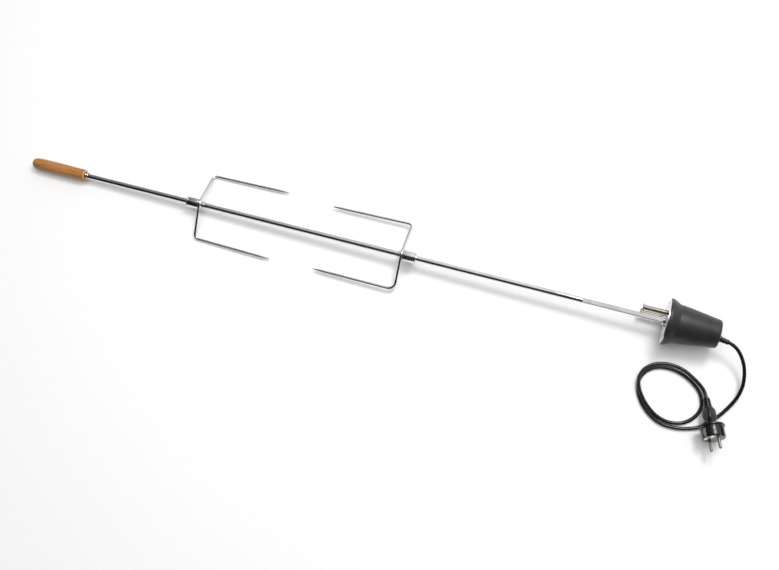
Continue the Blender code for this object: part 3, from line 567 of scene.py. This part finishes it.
def turned(name, profile, matrix, segments, ring=False, soften=0.0):
    """A profile of (radius, height) turned about local Z, with softened corners."""
    sections = []
    for radius, height in softened(profile, soften, ring):
        if radius < 1e-7:
            sections.append([(0, 0, height)])
            continue
        angles = [2 * math.pi * index / segments for index in range(segments)]
        sections.append([(radius * math.cos(a), radius * math.sin(a), height) for a in angles])
    return loft(name, sections, matrix, ring)


def box_tool(low, high, matrix):
    """A box between two opposite corners, for a Boolean."""
    (x0, y0, z0), (x1, y1, z1) = low, high
    shape = bmesh.new()
    outline = [(x0, y0), (x1, y0), (x1, y1), (x0, y1)]
    face = shape.faces.new([shape.verts.new((x, y, z0)) for x, y in outline])
    lifted = bmesh.ops.extrude_face_region(shape, geom=[face])
    top = [item for item in lifted["geom"] if isinstance(item, bmesh.types.BMVert)]
    bmesh.ops.translate(shape, verts=top, vec=(0, 0, z1 - z0))
    return new_object("tool", shape, matrix)


def drill(radius, low, high, matrix, top=None):
    """A cylinder for a Boolean, or a cone where the radius at the top is another."""
    upper = radius if top is None else top
    return turned("tool", [(0, high), (upper, high), (radius, low), (0, low)], matrix, TOOL_SEGMENTS)


def capped(sections):
    """The rings with a pole in the middle of the first and of the last."""
    poles = [[tuple(sum(values) / len(section) for values in zip(*section))]
             for section in (sections[0], sections[-1])]
    return [poles[0], *sections, poles[1]]


def rounded_outline(across, up, power, count):
    """Points round an oval of two half axes, which gets squarer as its power goes up from 2."""
    points = []
    for index in range(count):
        angle = 2 * math.pi * index / count
        x, y = math.cos(angle), math.sin(angle)
        reach = 1 / (abs(x / across) ** power + abs(y / up) ** power) ** (1 / power)
        points.append((reach * x, reach * y))
    return points


def combined(obj, tools, operation="DIFFERENCE"):
    """Apply Boolean tools to a piece and take the tools away."""
    for tool in tools:
        modifier = obj.modifiers.new("tool", "BOOLEAN")
        modifier.operation = operation
        modifier.solver = "MANIFOLD"
        modifier.object = tool
    bpy.context.view_layer.update()
    evaluated = obj.evaluated_get(bpy.context.evaluated_depsgraph_get())
    mesh = bpy.data.meshes.new_from_object(evaluated)
    obj.modifiers.clear()
    obj.data = mesh
    for tool in tools:
        bpy.data.objects.remove(tool, do_unlink=True)
    return obj


def at(x=0.0, y=0.0, z=0.0, turn=None):
    """A place in the spit frame, with its local axes."""
    here = SPIT @ Matrix.Translation((x, y, z))
    return here @ turn if turn else here


def polar(radius, degrees):
    """Two coordinates of a point on a circle."""
    angle = math.radians(degrees)
    return radius * math.cos(angle), radius * math.sin(angle)


def sweep(name, points, radius, radii, matrix, resolution=6):
    """A round wire through points, with a share of the radius at each."""
    curve = bpy.data.curves.new(name, "CURVE")
    curve.dimensions = "3D"
    spline = curve.splines.new("POLY")
    spline.points.add(len(points) - 1)
    for target, point, share in zip(spline.points, points, radii):
        target.co = (*point, 1)
        target.radius = share
    spline.use_smooth = True
    curve.bevel_depth = radius
    curve.bevel_resolution = resolution
    curve.use_fill_caps = True
    obj = bpy.data.objects.new(name, curve)
    obj.matrix_world = matrix
    SCENE.collection.objects.link(obj)
    return obj


# ---------------------------------------------------------------- cord

def smooth_route(points, spacing):
    """Evenly spaced points on a smooth curve through the route's own points."""
    points = [Vector(point) for point in points]
    ends = [2 * points[0] - points[1], *points, 2 * points[-1] - points[-2]]
    dense = []
    for before, start, end, after in zip(ends, ends[1:], ends[2:], ends[3:]):
        for step in range(ROUTE_STEPS):
            t = step / ROUTE_STEPS
            dense.append(0.5 * (2 * start + (end - before) * t
                                + (2 * before - 5 * start + 4 * end - after) * t ** 2
                                + (3 * start - before - 3 * end + after) * t ** 3))
    dense.append(points[-1])
    lengths = [0]
    for start, end in zip(dense, dense[1:]):
        lengths.append(lengths[-1] + (end - start).length)
    steps = round(lengths[-1] / spacing)
    result, index = [], 0
    for step in range(steps + 1):
        target = lengths[-1] * step / steps
        while index < len(dense) - 2 and lengths[index + 1] < target:
            index += 1
        share = (target - lengths[index]) / (lengths[index + 1] - lengths[index])
        result.append(dense[index].lerp(dense[index + 1], share))
    return result


def path_length(points):
    return sum((end - start).length for start, end in zip(points, points[1:]))


RELIEF = at(*RELIEF_EXIT, turn=RELIEF_TURN)


def plug_frame():
    """Pins along local X, the cord-to-pins direction along local Z."""
    axis = (PLUG_FACE - PLUG_BACK).normalized()
    side = Vector((-axis.y, axis.x, 0)).normalized()
    pins = side * math.cos(PLUG_ROLL) + axis.cross(side) * math.sin(PLUG_ROLL)
    turn = Matrix((pins, axis.cross(pins), axis)).transposed().to_4x4()
    return Matrix.Translation(MOTOR_FOOT + PLUG_BACK) @ turn


PLUG = plug_frame()


def make_cord():
    """The whole cord, from the clamp inside the housing to inside the plug's boot."""
    route = [MOTOR_FOOT + Vector(point) / 1000 for point in CORD_ROUTE_MM]
    line = smooth_route(route, ROUTE_SPACING)
    leaves = RELIEF @ Vector((0, 0, RELIEF_END))
    start = min(range(len(line)), key=lambda index: (line[index] - leaves).length)
    outside = [leaves, *line[start + 1:]]
    inside = [*line[:start], leaves]
    inner = sweep("cord_inside_housing", inside, CORD_R, [1] * len(inside), Matrix.Identity(4))
    finished(inner, "black_vinyl", "motor")
    cord = sweep("cord", outside, CORD_R, [1] * len(outside), Matrix.Identity(4))
    finished(cord, "black_vinyl", "motor", ["power_cord"])
    return cord, leaves, path_length(outside)


# ---------------------------------------------------------------- spit rod and handle

def rod_section(x, half, radius):
    """A circle with four flats at the given distance from the axis."""
    corner = math.degrees(math.acos(FLAT_HALF / ROD_R))
    quarter = [-corner + 2 * corner * step / FLAT_STEPS for step in range(FLAT_STEPS)]
    quarter += [corner + (90 - 2 * corner) * step / ROUND_STEPS for step in range(ROUND_STEPS)]
    points = []
    for side in range(4):
        for degrees in quarter:
            angle = math.radians(degrees)
            reach = min(radius, half / math.cos(angle)) if abs(degrees) <= corner + 1e-6 else radius
            y, z = polar(reach, degrees + 90 * side)
            points.append((x, y, z))
    return points


def make_rod():
    """A square drive end whose flats run out into the round rod, and a chamfer at both ends."""
    end, tail = ROD_DRIVE_END, ROD_TAIL
    sections = [[(end, 0, 0)], rod_section(end, FLAT_HALF - ROD_CHAMFER, ROD_R - ROD_CHAMFER)]
    sections.append(rod_section(end - ROD_CHAMFER, FLAT_HALF, ROD_R))
    sections += [rod_section(x_mm / 1000, FLAT_HALF, ROD_R) for x_mm in range(-10, -137, -18)]
    for step in range(7):
        t = step / 6
        half = FLAT_HALF + (ROD_R - FLAT_HALF) * (1 - math.sqrt(max(0, 1 - t * t)))
        sections.append(rod_section(SQUARE_START + FLAT_RUN_OUT * (1 - t), half, ROD_R))
    sections += [rod_section(x_mm / 1000, ROD_R, ROD_R) for x_mm in range(-160, -1140, -35)]
    sections.append(rod_section(tail + ROD_CHAMFER, ROD_R, ROD_R))
    sections += [rod_section(tail, ROD_R - ROD_CHAMFER, ROD_R - ROD_CHAMFER), [(tail, 0, 0)]]
    finished(loft("rod", sections, SPIT), "chrome", "spit", ["spit_rod"], smooth=25)


def make_handle():
    """A turned handle, a little fuller in the middle, with a cut front edge round a sunk seat."""
    seat = HANDLE_FRONT - FERRULE_SEAT_DEPTH
    outer = [(0.0088, HANDLE_FRONT), (HANDLE_R, HANDLE_FRONT - HANDLE_LIP)]
    body_start, body_end = HANDLE_FRONT - HANDLE_LIP, HANDLE_BUTT + HANDLE_DOME
    for step in range(1, HANDLE_STEPS + 1):
        t = step / HANDLE_STEPS
        x = body_start + (body_end - body_start) * t
        outer.append((HANDLE_R + HANDLE_SWELL * math.sin(math.pi * min(1, t * 0.72)) ** 0.8, x))
    outer += [(0.0098, HANDLE_BUTT + 0.0070), (0.0083, HANDLE_BUTT + 0.0030),
              (0.0055, HANDLE_BUTT + 0.0007), (0, HANDLE_BUTT)]
    inner = [(0, HANDLE_BORE_END), (BORE_R, HANDLE_BORE_END), (BORE_R, seat), (FERRULE_SEAT_R, seat),
             (FERRULE_SEAT_R, HANDLE_FRONT)]
    handle = turned("wooden_handle", inner + outer, at(turn=ALONG), 96, soften=0.0008)
    finished(handle, "wood", "spit", ["handle"])


def make_ferrule():
    """A steel sleeve in the handle's seat, with a shallow neck near its front."""
    rear = HANDLE_FRONT - FERRULE_SEAT_DEPTH + GAP
    front = HANDLE_FRONT + FERRULE_OUT
    profile = [
        (BORE_R, front), (0.0059, front), (FERRULE_R, front - 0.0006), (FERRULE_R, front - 0.0022),
        (FERRULE_NECK_R, front - 0.0026), (FERRULE_NECK_R, front - 0.0034),
        (FERRULE_R, front - 0.0038), (FERRULE_R, rear), (BORE_R, rear),
    ]
    ferrule = turned("ferrule", profile, at(turn=ALONG), 64, True, 0.0002)
    finished(ferrule, "steel", "spit", ["handle_ferrule"])


# ---------------------------------------------------------------- meat forks

def rounded_path(corners, bend_radii):
    """Straight lines between the corners, with an arc of the given radius at each inner one."""
    points = [Vector(corners[0])]
    for before, corner, after, radius in zip(corners, corners[1:], corners[2:], bend_radii):
        corner = Vector(corner)
        incoming = (corner - Vector(before)).normalized()
        outgoing = (Vector(after) - corner).normalized()
        turn = incoming.angle(outgoing)
        start = corner - incoming * radius * math.tan(turn / 2)
        inward = (outgoing - incoming * incoming.dot(outgoing)).normalized()
        for step in range(BEND_STEPS + 1):
            angle = turn * step / BEND_STEPS
            points.append(start + incoming * radius * math.sin(angle)
                          + inward * radius * (1 - math.cos(angle)))
    points.append(Vector(corners[-1]))
    return points


def make_tines(side):
    """One bent wire with two ground points."""
    inward = FORK_INWARD[side]
    near, far = TIP_SHIFT[side]
    spread = PRONG_SPREAD
    corners = [(spread + near[1], -PRONG_DROP, PRONG_LENGTH + near[0]), (spread, -PRONG_DROP, 0),
               (0, WIRE_PEAK, 0), (-spread, -PRONG_DROP, 0),
               (-spread - far[1], -PRONG_DROP, PRONG_LENGTH + far[0])]
    first_bend, last_bend = CORNER_BEND_R[side]
    path = rounded_path(corners, (first_bend, PEAK_BEND_R, last_bend))

    def point_of(tip, neighbour):
        back = (neighbour - tip).normalized() * TIP_TAPER
        return [(tip + back * share, radius) for share, radius in TIP_SHAPE]

    middle = [(point, 1.0) for point in path[1:-1]]
    wire = point_of(path[0], path[1]) + middle + point_of(path[-1], path[-2])[::-1]
    places, radii = zip(*wire)
    points = [(inward * along, across, up) for across, up, along in places]
    tines = sweep(f"{side}_tines", points, WIRE_R, radii, at(FORK_X[side]), resolution=8)
    finished(tines, "chrome", f"{side}_fork", [f"{side}_fork_tines"])


def make_welds(side):
    """A rippled bead each side of the neck, where the wire is welded to the collar's face."""
    inward = FORK_INWARD[side]
    leg = Vector((PRONG_SPREAD, -PRONG_DROP - WIRE_PEAK)).normalized()
    for number, hand in enumerate((1, -1), 1):
        sections = []
        for step in range(WELD_STEPS + 1):
            t = step / WELD_STEPS
            centre = Vector((0, WIRE_PEAK)) + leg * (WELD_START + WELD_LENGTH * t)
            size = WELD_R * math.sin(math.pi * min(0.97, max(0.03, t))) ** 0.5
            size *= 1 + 0.12 * math.sin(step * 2.4 + number)
            ring = []
            for turn in range(14):
                across, out = polar(size, turn * 360 / 14)
                ring.append((-inward * (WIRE_R * 0.82 + across * 0.9), hand * centre.x,
                             centre.y - WELD_DROP + out))
            sections.append(ring)
        bead = loft(f"{side}_weld_{number}", capped(sections), at(FORK_X[side]))
        finished(bead, "chrome", f"{side}_fork", smooth=80)


def screw_place(side):
    """The thumbscrew's place: a point on the rod's axis, with local Z up."""
    return at(FORK_X[side] - FORK_INWARD[side] * SCREW_OFFSET)


def make_collar(side):
    """A collar with a neck on the prongs' side, a groove near its back and a hole for the screw."""
    back = -COLLAR_FACE - COLLAR_LENGTH
    neck = NECK_LENGTH - COLLAR_FACE
    groove = back + COLLAR_GROOVE_FROM_BACK
    groove_back = groove - COLLAR_GROOVE_WIDTH
    groove_r = COLLAR_R - COLLAR_GROOVE_DEPTH
    edge_r = COLLAR_R - COLLAR_CHAMFER
    profile = [
        (BORE_R, neck), (NECK_R - 0.0004, neck), (NECK_R, neck - 0.0004), (NECK_R, -COLLAR_FACE),
        (edge_r, -COLLAR_FACE), (COLLAR_R, -COLLAR_FACE - COLLAR_CHAMFER), (COLLAR_R, groove),
        (groove_r, groove - 0.0002), (groove_r, groove_back + 0.0002), (COLLAR_R, groove_back),
        (COLLAR_R, back + COLLAR_CHAMFER), (edge_r, back), (BORE_R + 0.0003, back),
        (BORE_R, back + 0.0003),
    ]
    turn = ALONG if FORK_INWARD[side] > 0 else AGAINST
    collar = turned(f"{side}_collar", profile, at(FORK_X[side], turn=turn), 96, True, 0.00025)
    hole = drill(SCREW_R + GAP / 2, -COLLAR_R - 0.002, 0.001 - ROD_R, screw_place(side))
    combined(collar, [hole])
    finished(collar, "chrome", f"{side}_fork", [f"{side}_fork_collar"])


def make_thumbscrew(side):
    """A knurled head with a dished end, and a threaded shank."""
    low, high = SCREW_HEAD_TOP - SCREW_HEAD_HEIGHT, SCREW_HEAD_TOP
    count = KNURL_POINTS * KNURLS

    def ring(radius, height, depth):
        points = []
        for index in range(count):
            ridge = 0.5 + 0.5 * math.cos(2 * math.pi * index / KNURL_POINTS)
            x, y = polar(radius - depth * (1 - ridge), index * 360 / count)
            points.append((x, y, height))
        return points

    full = SCREW_HEAD_R
    sections = [[(0, 0, low + 0.0008)], ring(0.0030, low + 0.0008, 0), ring(0.0037, low + 0.0001, 0),
                ring(full - 0.0007, low, 0), ring(full - 0.0002, low + 0.0004, 0.0001),
                ring(full, low + 0.0009, 0.0005), ring(full, high - 0.0009, 0.0005),
                ring(full - 0.0002, high - 0.0004, 0.0001), ring(full - 0.0007, high, 0),
                ring(SCREW_R, high, 0)]
    height = high
    while height < -BORE_R - SCREW_PITCH:
        sections += [ring(SCREW_R - 0.00025, height + SCREW_PITCH * 0.25, 0),
                     ring(SCREW_R, height + SCREW_PITCH * 0.75, 0)]
        height += SCREW_PITCH
    end = -BORE_R - 0.0001
    sections += [ring(SCREW_R - 0.0005, end, 0), [(0, 0, end)]]
    screw = loft(f"{side}_screw", sections, screw_place(side))
    finished(screw, "steel", f"{side}_screw", [f"{side}_thumbscrew"], smooth=50)


# ---------------------------------------------------------------- motor

def plate_screw_places():
    return [at(0, *polar(PLATE_SCREW_CIRCLE, degrees), turn=ALONG) for degrees in PLATE_SCREW_ANGLES]


def make_housing():
    """A tapered drum with a flared rim, a pad on its rear, and bosses for the plate's screws."""
    outer = [
        (0, HOUSING_REAR), (0.0140, HOUSING_REAR), (0.0144, HOUSING_REAR - 0.0004),
        (0.0152, HOUSING_REAR - 0.0004), (0.0156, HOUSING_REAR), (0.0203, HOUSING_REAR),
        (0.0224, 0.0831), (0.0233, 0.0810), (0.0308, 0.0308), (0.0318, 0.0200), (0.0319, 0.0173),
        (0.0336, 0.0130), (0.0358, 0.0094), (0.0382, 0.0044), (RIM_R, 0.0030), (RIM_R, 0),
    ]
    inner = [
        (0.0362, 0), (0.0358, 0.0044), (0.0334, 0.0094), (0.0294, 0.0173), (0.0293, 0.0200),
        (0.0283, 0.0308), (0.0210, 0.0795), (0.0190, 0.0815), (0, 0.0815),
    ]
    housing = turned("housing", outer + inner, at(turn=ALONG), 160, soften=0.0016)
    bosses = [drill(BOSS_R, 0, BOSS_END, place) for place in plate_screw_places()]
    combined(housing, bosses, "UNION")
    holes = [drill(PLATE_SCREW_R + GAP, -0.001, BOSS_HOLE_END, place) for place in plate_screw_places()]
    combined(housing, [*holes, drill(RELIEF_HOLE_R, -0.006, 0.006, RELIEF)])
    finished(housing, "charcoal_plastic", "motor", ["motor_housing"], smooth=30)


def make_face_plate():
    """A steel disc with a centre hole, countersunk screw holes and the studs' holes."""
    back = -GAP
    profile = [
        (PLATE_HOLE_R, PLATE_FRONT), (PLATE_R, PLATE_FRONT), (PLATE_R, back), (PLATE_HOLE_R, back),
    ]
    plate = turned("plate", profile, at(turn=ALONG), 160, True, 0.0003)
    tools = []
    for place in plate_screw_places():
        countersink = drill(0.0037, PLATE_FRONT - 0.0005, -0.0007, place, top=0.0016)
        tools += [drill(PLATE_SCREW_R + GAP, -0.01, 0.01, place), countersink]
    tools += [drill(STUD_NECK_R + GAP, -0.01, 0.01, at(0, y, z, turn=ALONG)) for y, z in STUD_PLACES]
    combined(plate, tools)
    finished(plate, "steel", "motor", ["face_plate"])


def make_plate_screws():
    """Countersunk screws with cross recesses, each turned another way."""
    top = PLATE_FRONT + 0.0002
    end = PLATE_SCREW_END
    profile = [(0, end), (0.0011, end), (PLATE_SCREW_R, end - 0.0007), (PLATE_SCREW_R, top + 0.0015),
               (0.0030, top + 0.0001), (0.0029, top), (0, top)]
    long, short = CROSS_HALF_LENGTH, CROSS_HALF_WIDTH
    for number, place in enumerate(plate_screw_places(), 1):
        screw = turned(f"cross_screw_{number}", profile, place, 48, soften=0.0001)
        recess = place @ Matrix.Rotation(math.radians(37 * number), 4, "Z")
        slots = [box_tool((-x, -y, top - 0.001), (x, y, top + 0.0009), recess)
                 for x, y in ((long, short), (short, long))]
        combined(screw, slots)
        finished(screw, "steel", "motor", [f"plate_screw_{number}"])


def make_studs():
    """Two studs with a groove at the foot, a chamfered head and a dimple in its end."""
    base = PLATE_FRONT - GAP
    head = base - STUD_LENGTH
    end = STUD_END
    profile = [
        (0, end), (0.0021, end), (STUD_NECK_R, end - 0.0004), (STUD_NECK_R, base), (STUD_R, base),
        (STUD_R, base - 0.0012), (STUD_R - 0.0003, base - 0.0015), (STUD_R - 0.0003, base - 0.0022),
        (STUD_R, base - 0.0025), (STUD_R, head + 0.0022), (STUD_HEAD_R, head + 0.0022),
        (STUD_HEAD_R, head + 0.0006), (STUD_HEAD_R - 0.0008, head), (0.0016, head),
        (0.0012, head + 0.0005), (0, head + 0.0005),
    ]
    for number, (y, z) in enumerate(STUD_PLACES, 1):
        stud = turned(f"stud_{number}", profile, at(0, y, z, turn=ALONG), 72, soften=0.00035)
        finished(stud, "nickel", "motor", [f"mounting_stud_{number}"])


def make_socket():
    """The drive socket with its square mouth."""
    rear, front, end = SOCKET_REAR, SOCKET_FRONT, SOCKET_SHAFT_END
    profile = [(0, end), (SOCKET_SHAFT_R, end), (SOCKET_SHAFT_R, rear), (SOCKET_R, rear),
               (SOCKET_R, front + 0.0008), (SOCKET_R - 0.0008, front), (0, front)]
    socket = turned("square_socket", profile, at(turn=ALONG), 72, soften=0.0002)
    half = SQUARE_BORE_HALF
    bore = box_tool((-half, -half, front - 0.002), (half, half, SQUARE_BORE_END), at(turn=ALONG))
    combined(socket, [bore])
    finished(socket, "steel", "drive", ["drive_socket"])


# ---------------------------------------------------------------- strain relief and plug

def make_relief():
    """A stepped sleeve round the cord, with a flange inside the housing's wall and one outside."""
    profile = [
        (CORD_BORE_R, RELIEF_END), (0.0040, RELIEF_END), (0.0042, 0.0160), (0.0043, 0.0125),
        (0.0039, 0.0122), (0.0039, 0.0110), (0.0045, 0.0107), (0.0046, 0.0075), (0.0041, 0.0072),
        (0.0041, 0.0060), (0.0048, 0.0057), (0.0049, 0.0031), (0.0062, 0.0028), (0.0062, 0.0016),
        (0.0048, 0.0016), (0.0048, -0.0038), (0.0072, -0.0038), (0.0072, -0.0054),
        (CORD_BORE_R, -0.0054),
    ]
    relief = turned("relief", profile, RELIEF, 64, True, 0.0004)
    return finished(relief, "black_vinyl", "motor", ["strain_relief"], smooth=45)


def make_boot():
    """A sleeve of ribs, each a little narrower towards the cord."""
    profile = [(CORD_BORE_R, BOOT_LENGTH)]
    for rib in range(BOOT_RIBS):
        top = BOOT_LENGTH - rib * RIB_PITCH
        radius = BOOT_R - rib * 0.0002
        profile += [(radius, top), (radius, top - 0.0026), (radius - 0.0012, top - 0.0028),
                    (radius - 0.0012, top - 0.0039)]
    profile[-1] = (profile[-1][0], 0)
    profile.append((CORD_BORE_R, 0))
    boot = turned("ribbed_boot", profile, PLUG, 64, True, 0.0005)
    return finished(boot, "black_vinyl", "motor", ["plug_boot"], smooth=50)


def make_plug_body():
    """A square grip with rounded edges, a neck, a flange and the round front."""
    sections = (                       # place along the plug, half width, squareness
        (0.0170, 0.0000, 2), (0.0170, 0.0070, 2), (0.0173, 0.0077, 2.1), (0.0186, 0.0075, 3),
        (0.0200, 0.0078, 4.5), (0.0225, 0.0082, 6), (0.0290, 0.0085, 6), (0.0335, 0.0085, 6),
        (0.0370, 0.0080, 5), (0.0400, 0.0070, 3.4), (0.0420, 0.0064, 2.4), (0.0440, 0.0064, 2),
        (0.0452, 0.0070, 2), (0.0462, 0.0090, 2), (0.0467, 0.0120, 2), (0.0471, 0.0160, 2),
        (0.0473, 0.0192, 2), (0.0477, 0.0201, 2), (0.0483, 0.0205, 2), (0.0502, 0.0205, 2),
        (0.0508, 0.0201, 2), (0.0511, 0.0193, 2), (0.0513, 0.0187, 2), (0.0518, 0.0185, 2),
        (0.0600, 0.0185, 2), (0.0674, 0.0185, 2), (0.0683, 0.0182, 2), (0.0689, 0.0175, 2),
        (0.0690, 0.0165, 2), (0.0690, 0.0140, 2), (0.0690, 0.0000, 2),
    )
    rings = []
    for along, half, power in sections:
        outline = rounded_outline(half, half, power, 144) if half else [(0, 0)]
        rings.append([(x, y, along) for x, y in outline])
    body = loft("plug", rings, PLUG)
    combined(body, plug_tools())
    return finished(body, "black_vinyl", "motor", ["plug_body"], smooth=32)


def plug_tools():
    """What is cut from the plug: the earth hole, and each side's notch, clip slot and pin hole."""
    low, high = NOTCH_START, PLUG_LENGTH + 0.001
    earth_hole = PLUG @ Matrix.Translation((0, EARTH_HOLE_UP, 0))
    tools = [drill(EARTH_HOLE_R, PLUG_LENGTH - EARTH_HOLE_DEPTH, high, earth_hole)]
    for side in (-1, 1):
        near, far = sorted((side * NOTCH_FLOOR, side * NOTCH_OUTSIDE))
        tools += [box_tool((near, -NOTCH_HALF, low), (far, NOTCH_HALF, high), PLUG),
                  box_tool((-CLIP_SLOT_HALF, near, low), (CLIP_SLOT_HALF, far, high), PLUG),
                  drill(PIN_R + 0.0002, PLUG_LENGTH - PIN_SEAT - 0.0005, high, pin_place(side))]
    return tools


def pin_place(side):
    return PLUG @ Matrix.Translation((side * PIN_HALF_SPACING, 0, 0))


def make_pins():
    """Two round pins with rounded tips."""
    low, tip = PLUG_LENGTH - PIN_SEAT, PLUG_LENGTH + PIN_LENGTH
    profile = [(0, tip), (0.0009, tip - 0.0001), (0.0017, tip - 0.0007), (0.0022, tip - 0.0017),
               (PIN_R, tip - 0.0032), (PIN_R, low), (0, low)]
    pins = []
    for number, side in enumerate((-1, 1), 1):
        pin = turned(f"pin_{number}", profile, pin_place(side), 56, soften=0.0004)
        pins.append(finished(pin, "nickel", "motor", [f"plug_pin_{number}"], smooth=50))
    return pins


def make_earth_contacts():
    """Two bowed strips in the plug's side slots."""
    seat = NOTCH_FLOOR + GAP
    low, high = NOTCH_START + GAP, PLUG_LENGTH - 2 * GAP
    contacts = []
    for number, side in enumerate((-1, 1), 1):
        sections = []
        for step in range(CLIP_STEPS + 1):
            t = step / CLIP_STEPS
            along = low + (high - low) * t
            width = 0.0030 - 0.0004 * (abs(2 * t - 1) ** 6)
            inner = seat + CLIP_BOW * math.sin(math.pi * t) ** 1.5
            outer = inner + CLIP_THICKNESS
            sections.append([(side * x, side * y, along) for x, y in
                             ((-width, inner), (width, inner), (width, outer - 0.0002),
                              (width - 0.0003, outer), (-width + 0.0003, outer),
                              (-width, outer - 0.0002))])
        clip = loft(f"earth_strip_{number}", capped(sections), PLUG)
        contacts.append(finished(clip, "nickel", "motor", [f"plug_earth_clip_{number}"], smooth=30))
    return contacts


def make_earth_rim():
    """A thin metal plate round the earth hole, flat on the plug's face, with softened top edges."""
    outer = rounded_outline(*EARTH_RIM_HALVES, 3, 56)
    inner = rounded_outline(EARTH_RIM_HOLE_R, EARTH_RIM_HOLE_R, 2, 56)
    low = 0.00005
    high = low + EARTH_RIM_THICKNESS
    edge = high - 0.0001
    shrunk = [(x * 0.97, y * 0.96) for x, y in outer]
    widened = [(x * 1.05, y * 1.05) for x, y in inner]
    levels = ((inner, low), (outer, low), (outer, edge), (shrunk, high), (widened, high), (inner, edge))
    sections = [[(x, y, height) for x, y in outline] for outline, height in levels]
    place = PLUG @ Matrix.Translation((0, EARTH_HOLE_UP, PLUG_LENGTH))
    rim = loft("earth_rim", sections, place, closed=True)
    return finished(rim, "steel", "motor")


# ---------------------------------------------------------------- assembly

def dress_inner_nodes():
    """The CAD nodes that stay shown get the material of their slot."""
    for part in frame["record"]["subparts"]:
        node = frame["nodes"][part["node"]]
        node.data.materials.clear()
        node.data.materials.append(MATERIALS[part["material_slot"]])


make_camera()
make_world()
make_light("key", (0.75, 1.30, 2.35), (0, 0, 0), 0.80, 34)
make_light("overhead", (0.1, 0.1, 2.9), (0.1, 0, 0), 3.2, 52, shines=False)
make_floor()
make_backdrop()
dress_inner_nodes()
power_cord, cord_exit, cord_length = make_cord()
make_rod()
make_handle()
make_ferrule()
for fork in FORK_X:
    make_tines(fork)
    make_welds(fork)
    make_collar(fork)
    make_thumbscrew(fork)
make_housing()
make_face_plate()
make_plate_screws()
make_studs()
make_socket()
on_cord = [make_relief(), make_boot(), make_plug_body(), *make_pins(), *make_earth_contacts(),
           make_earth_rim()]
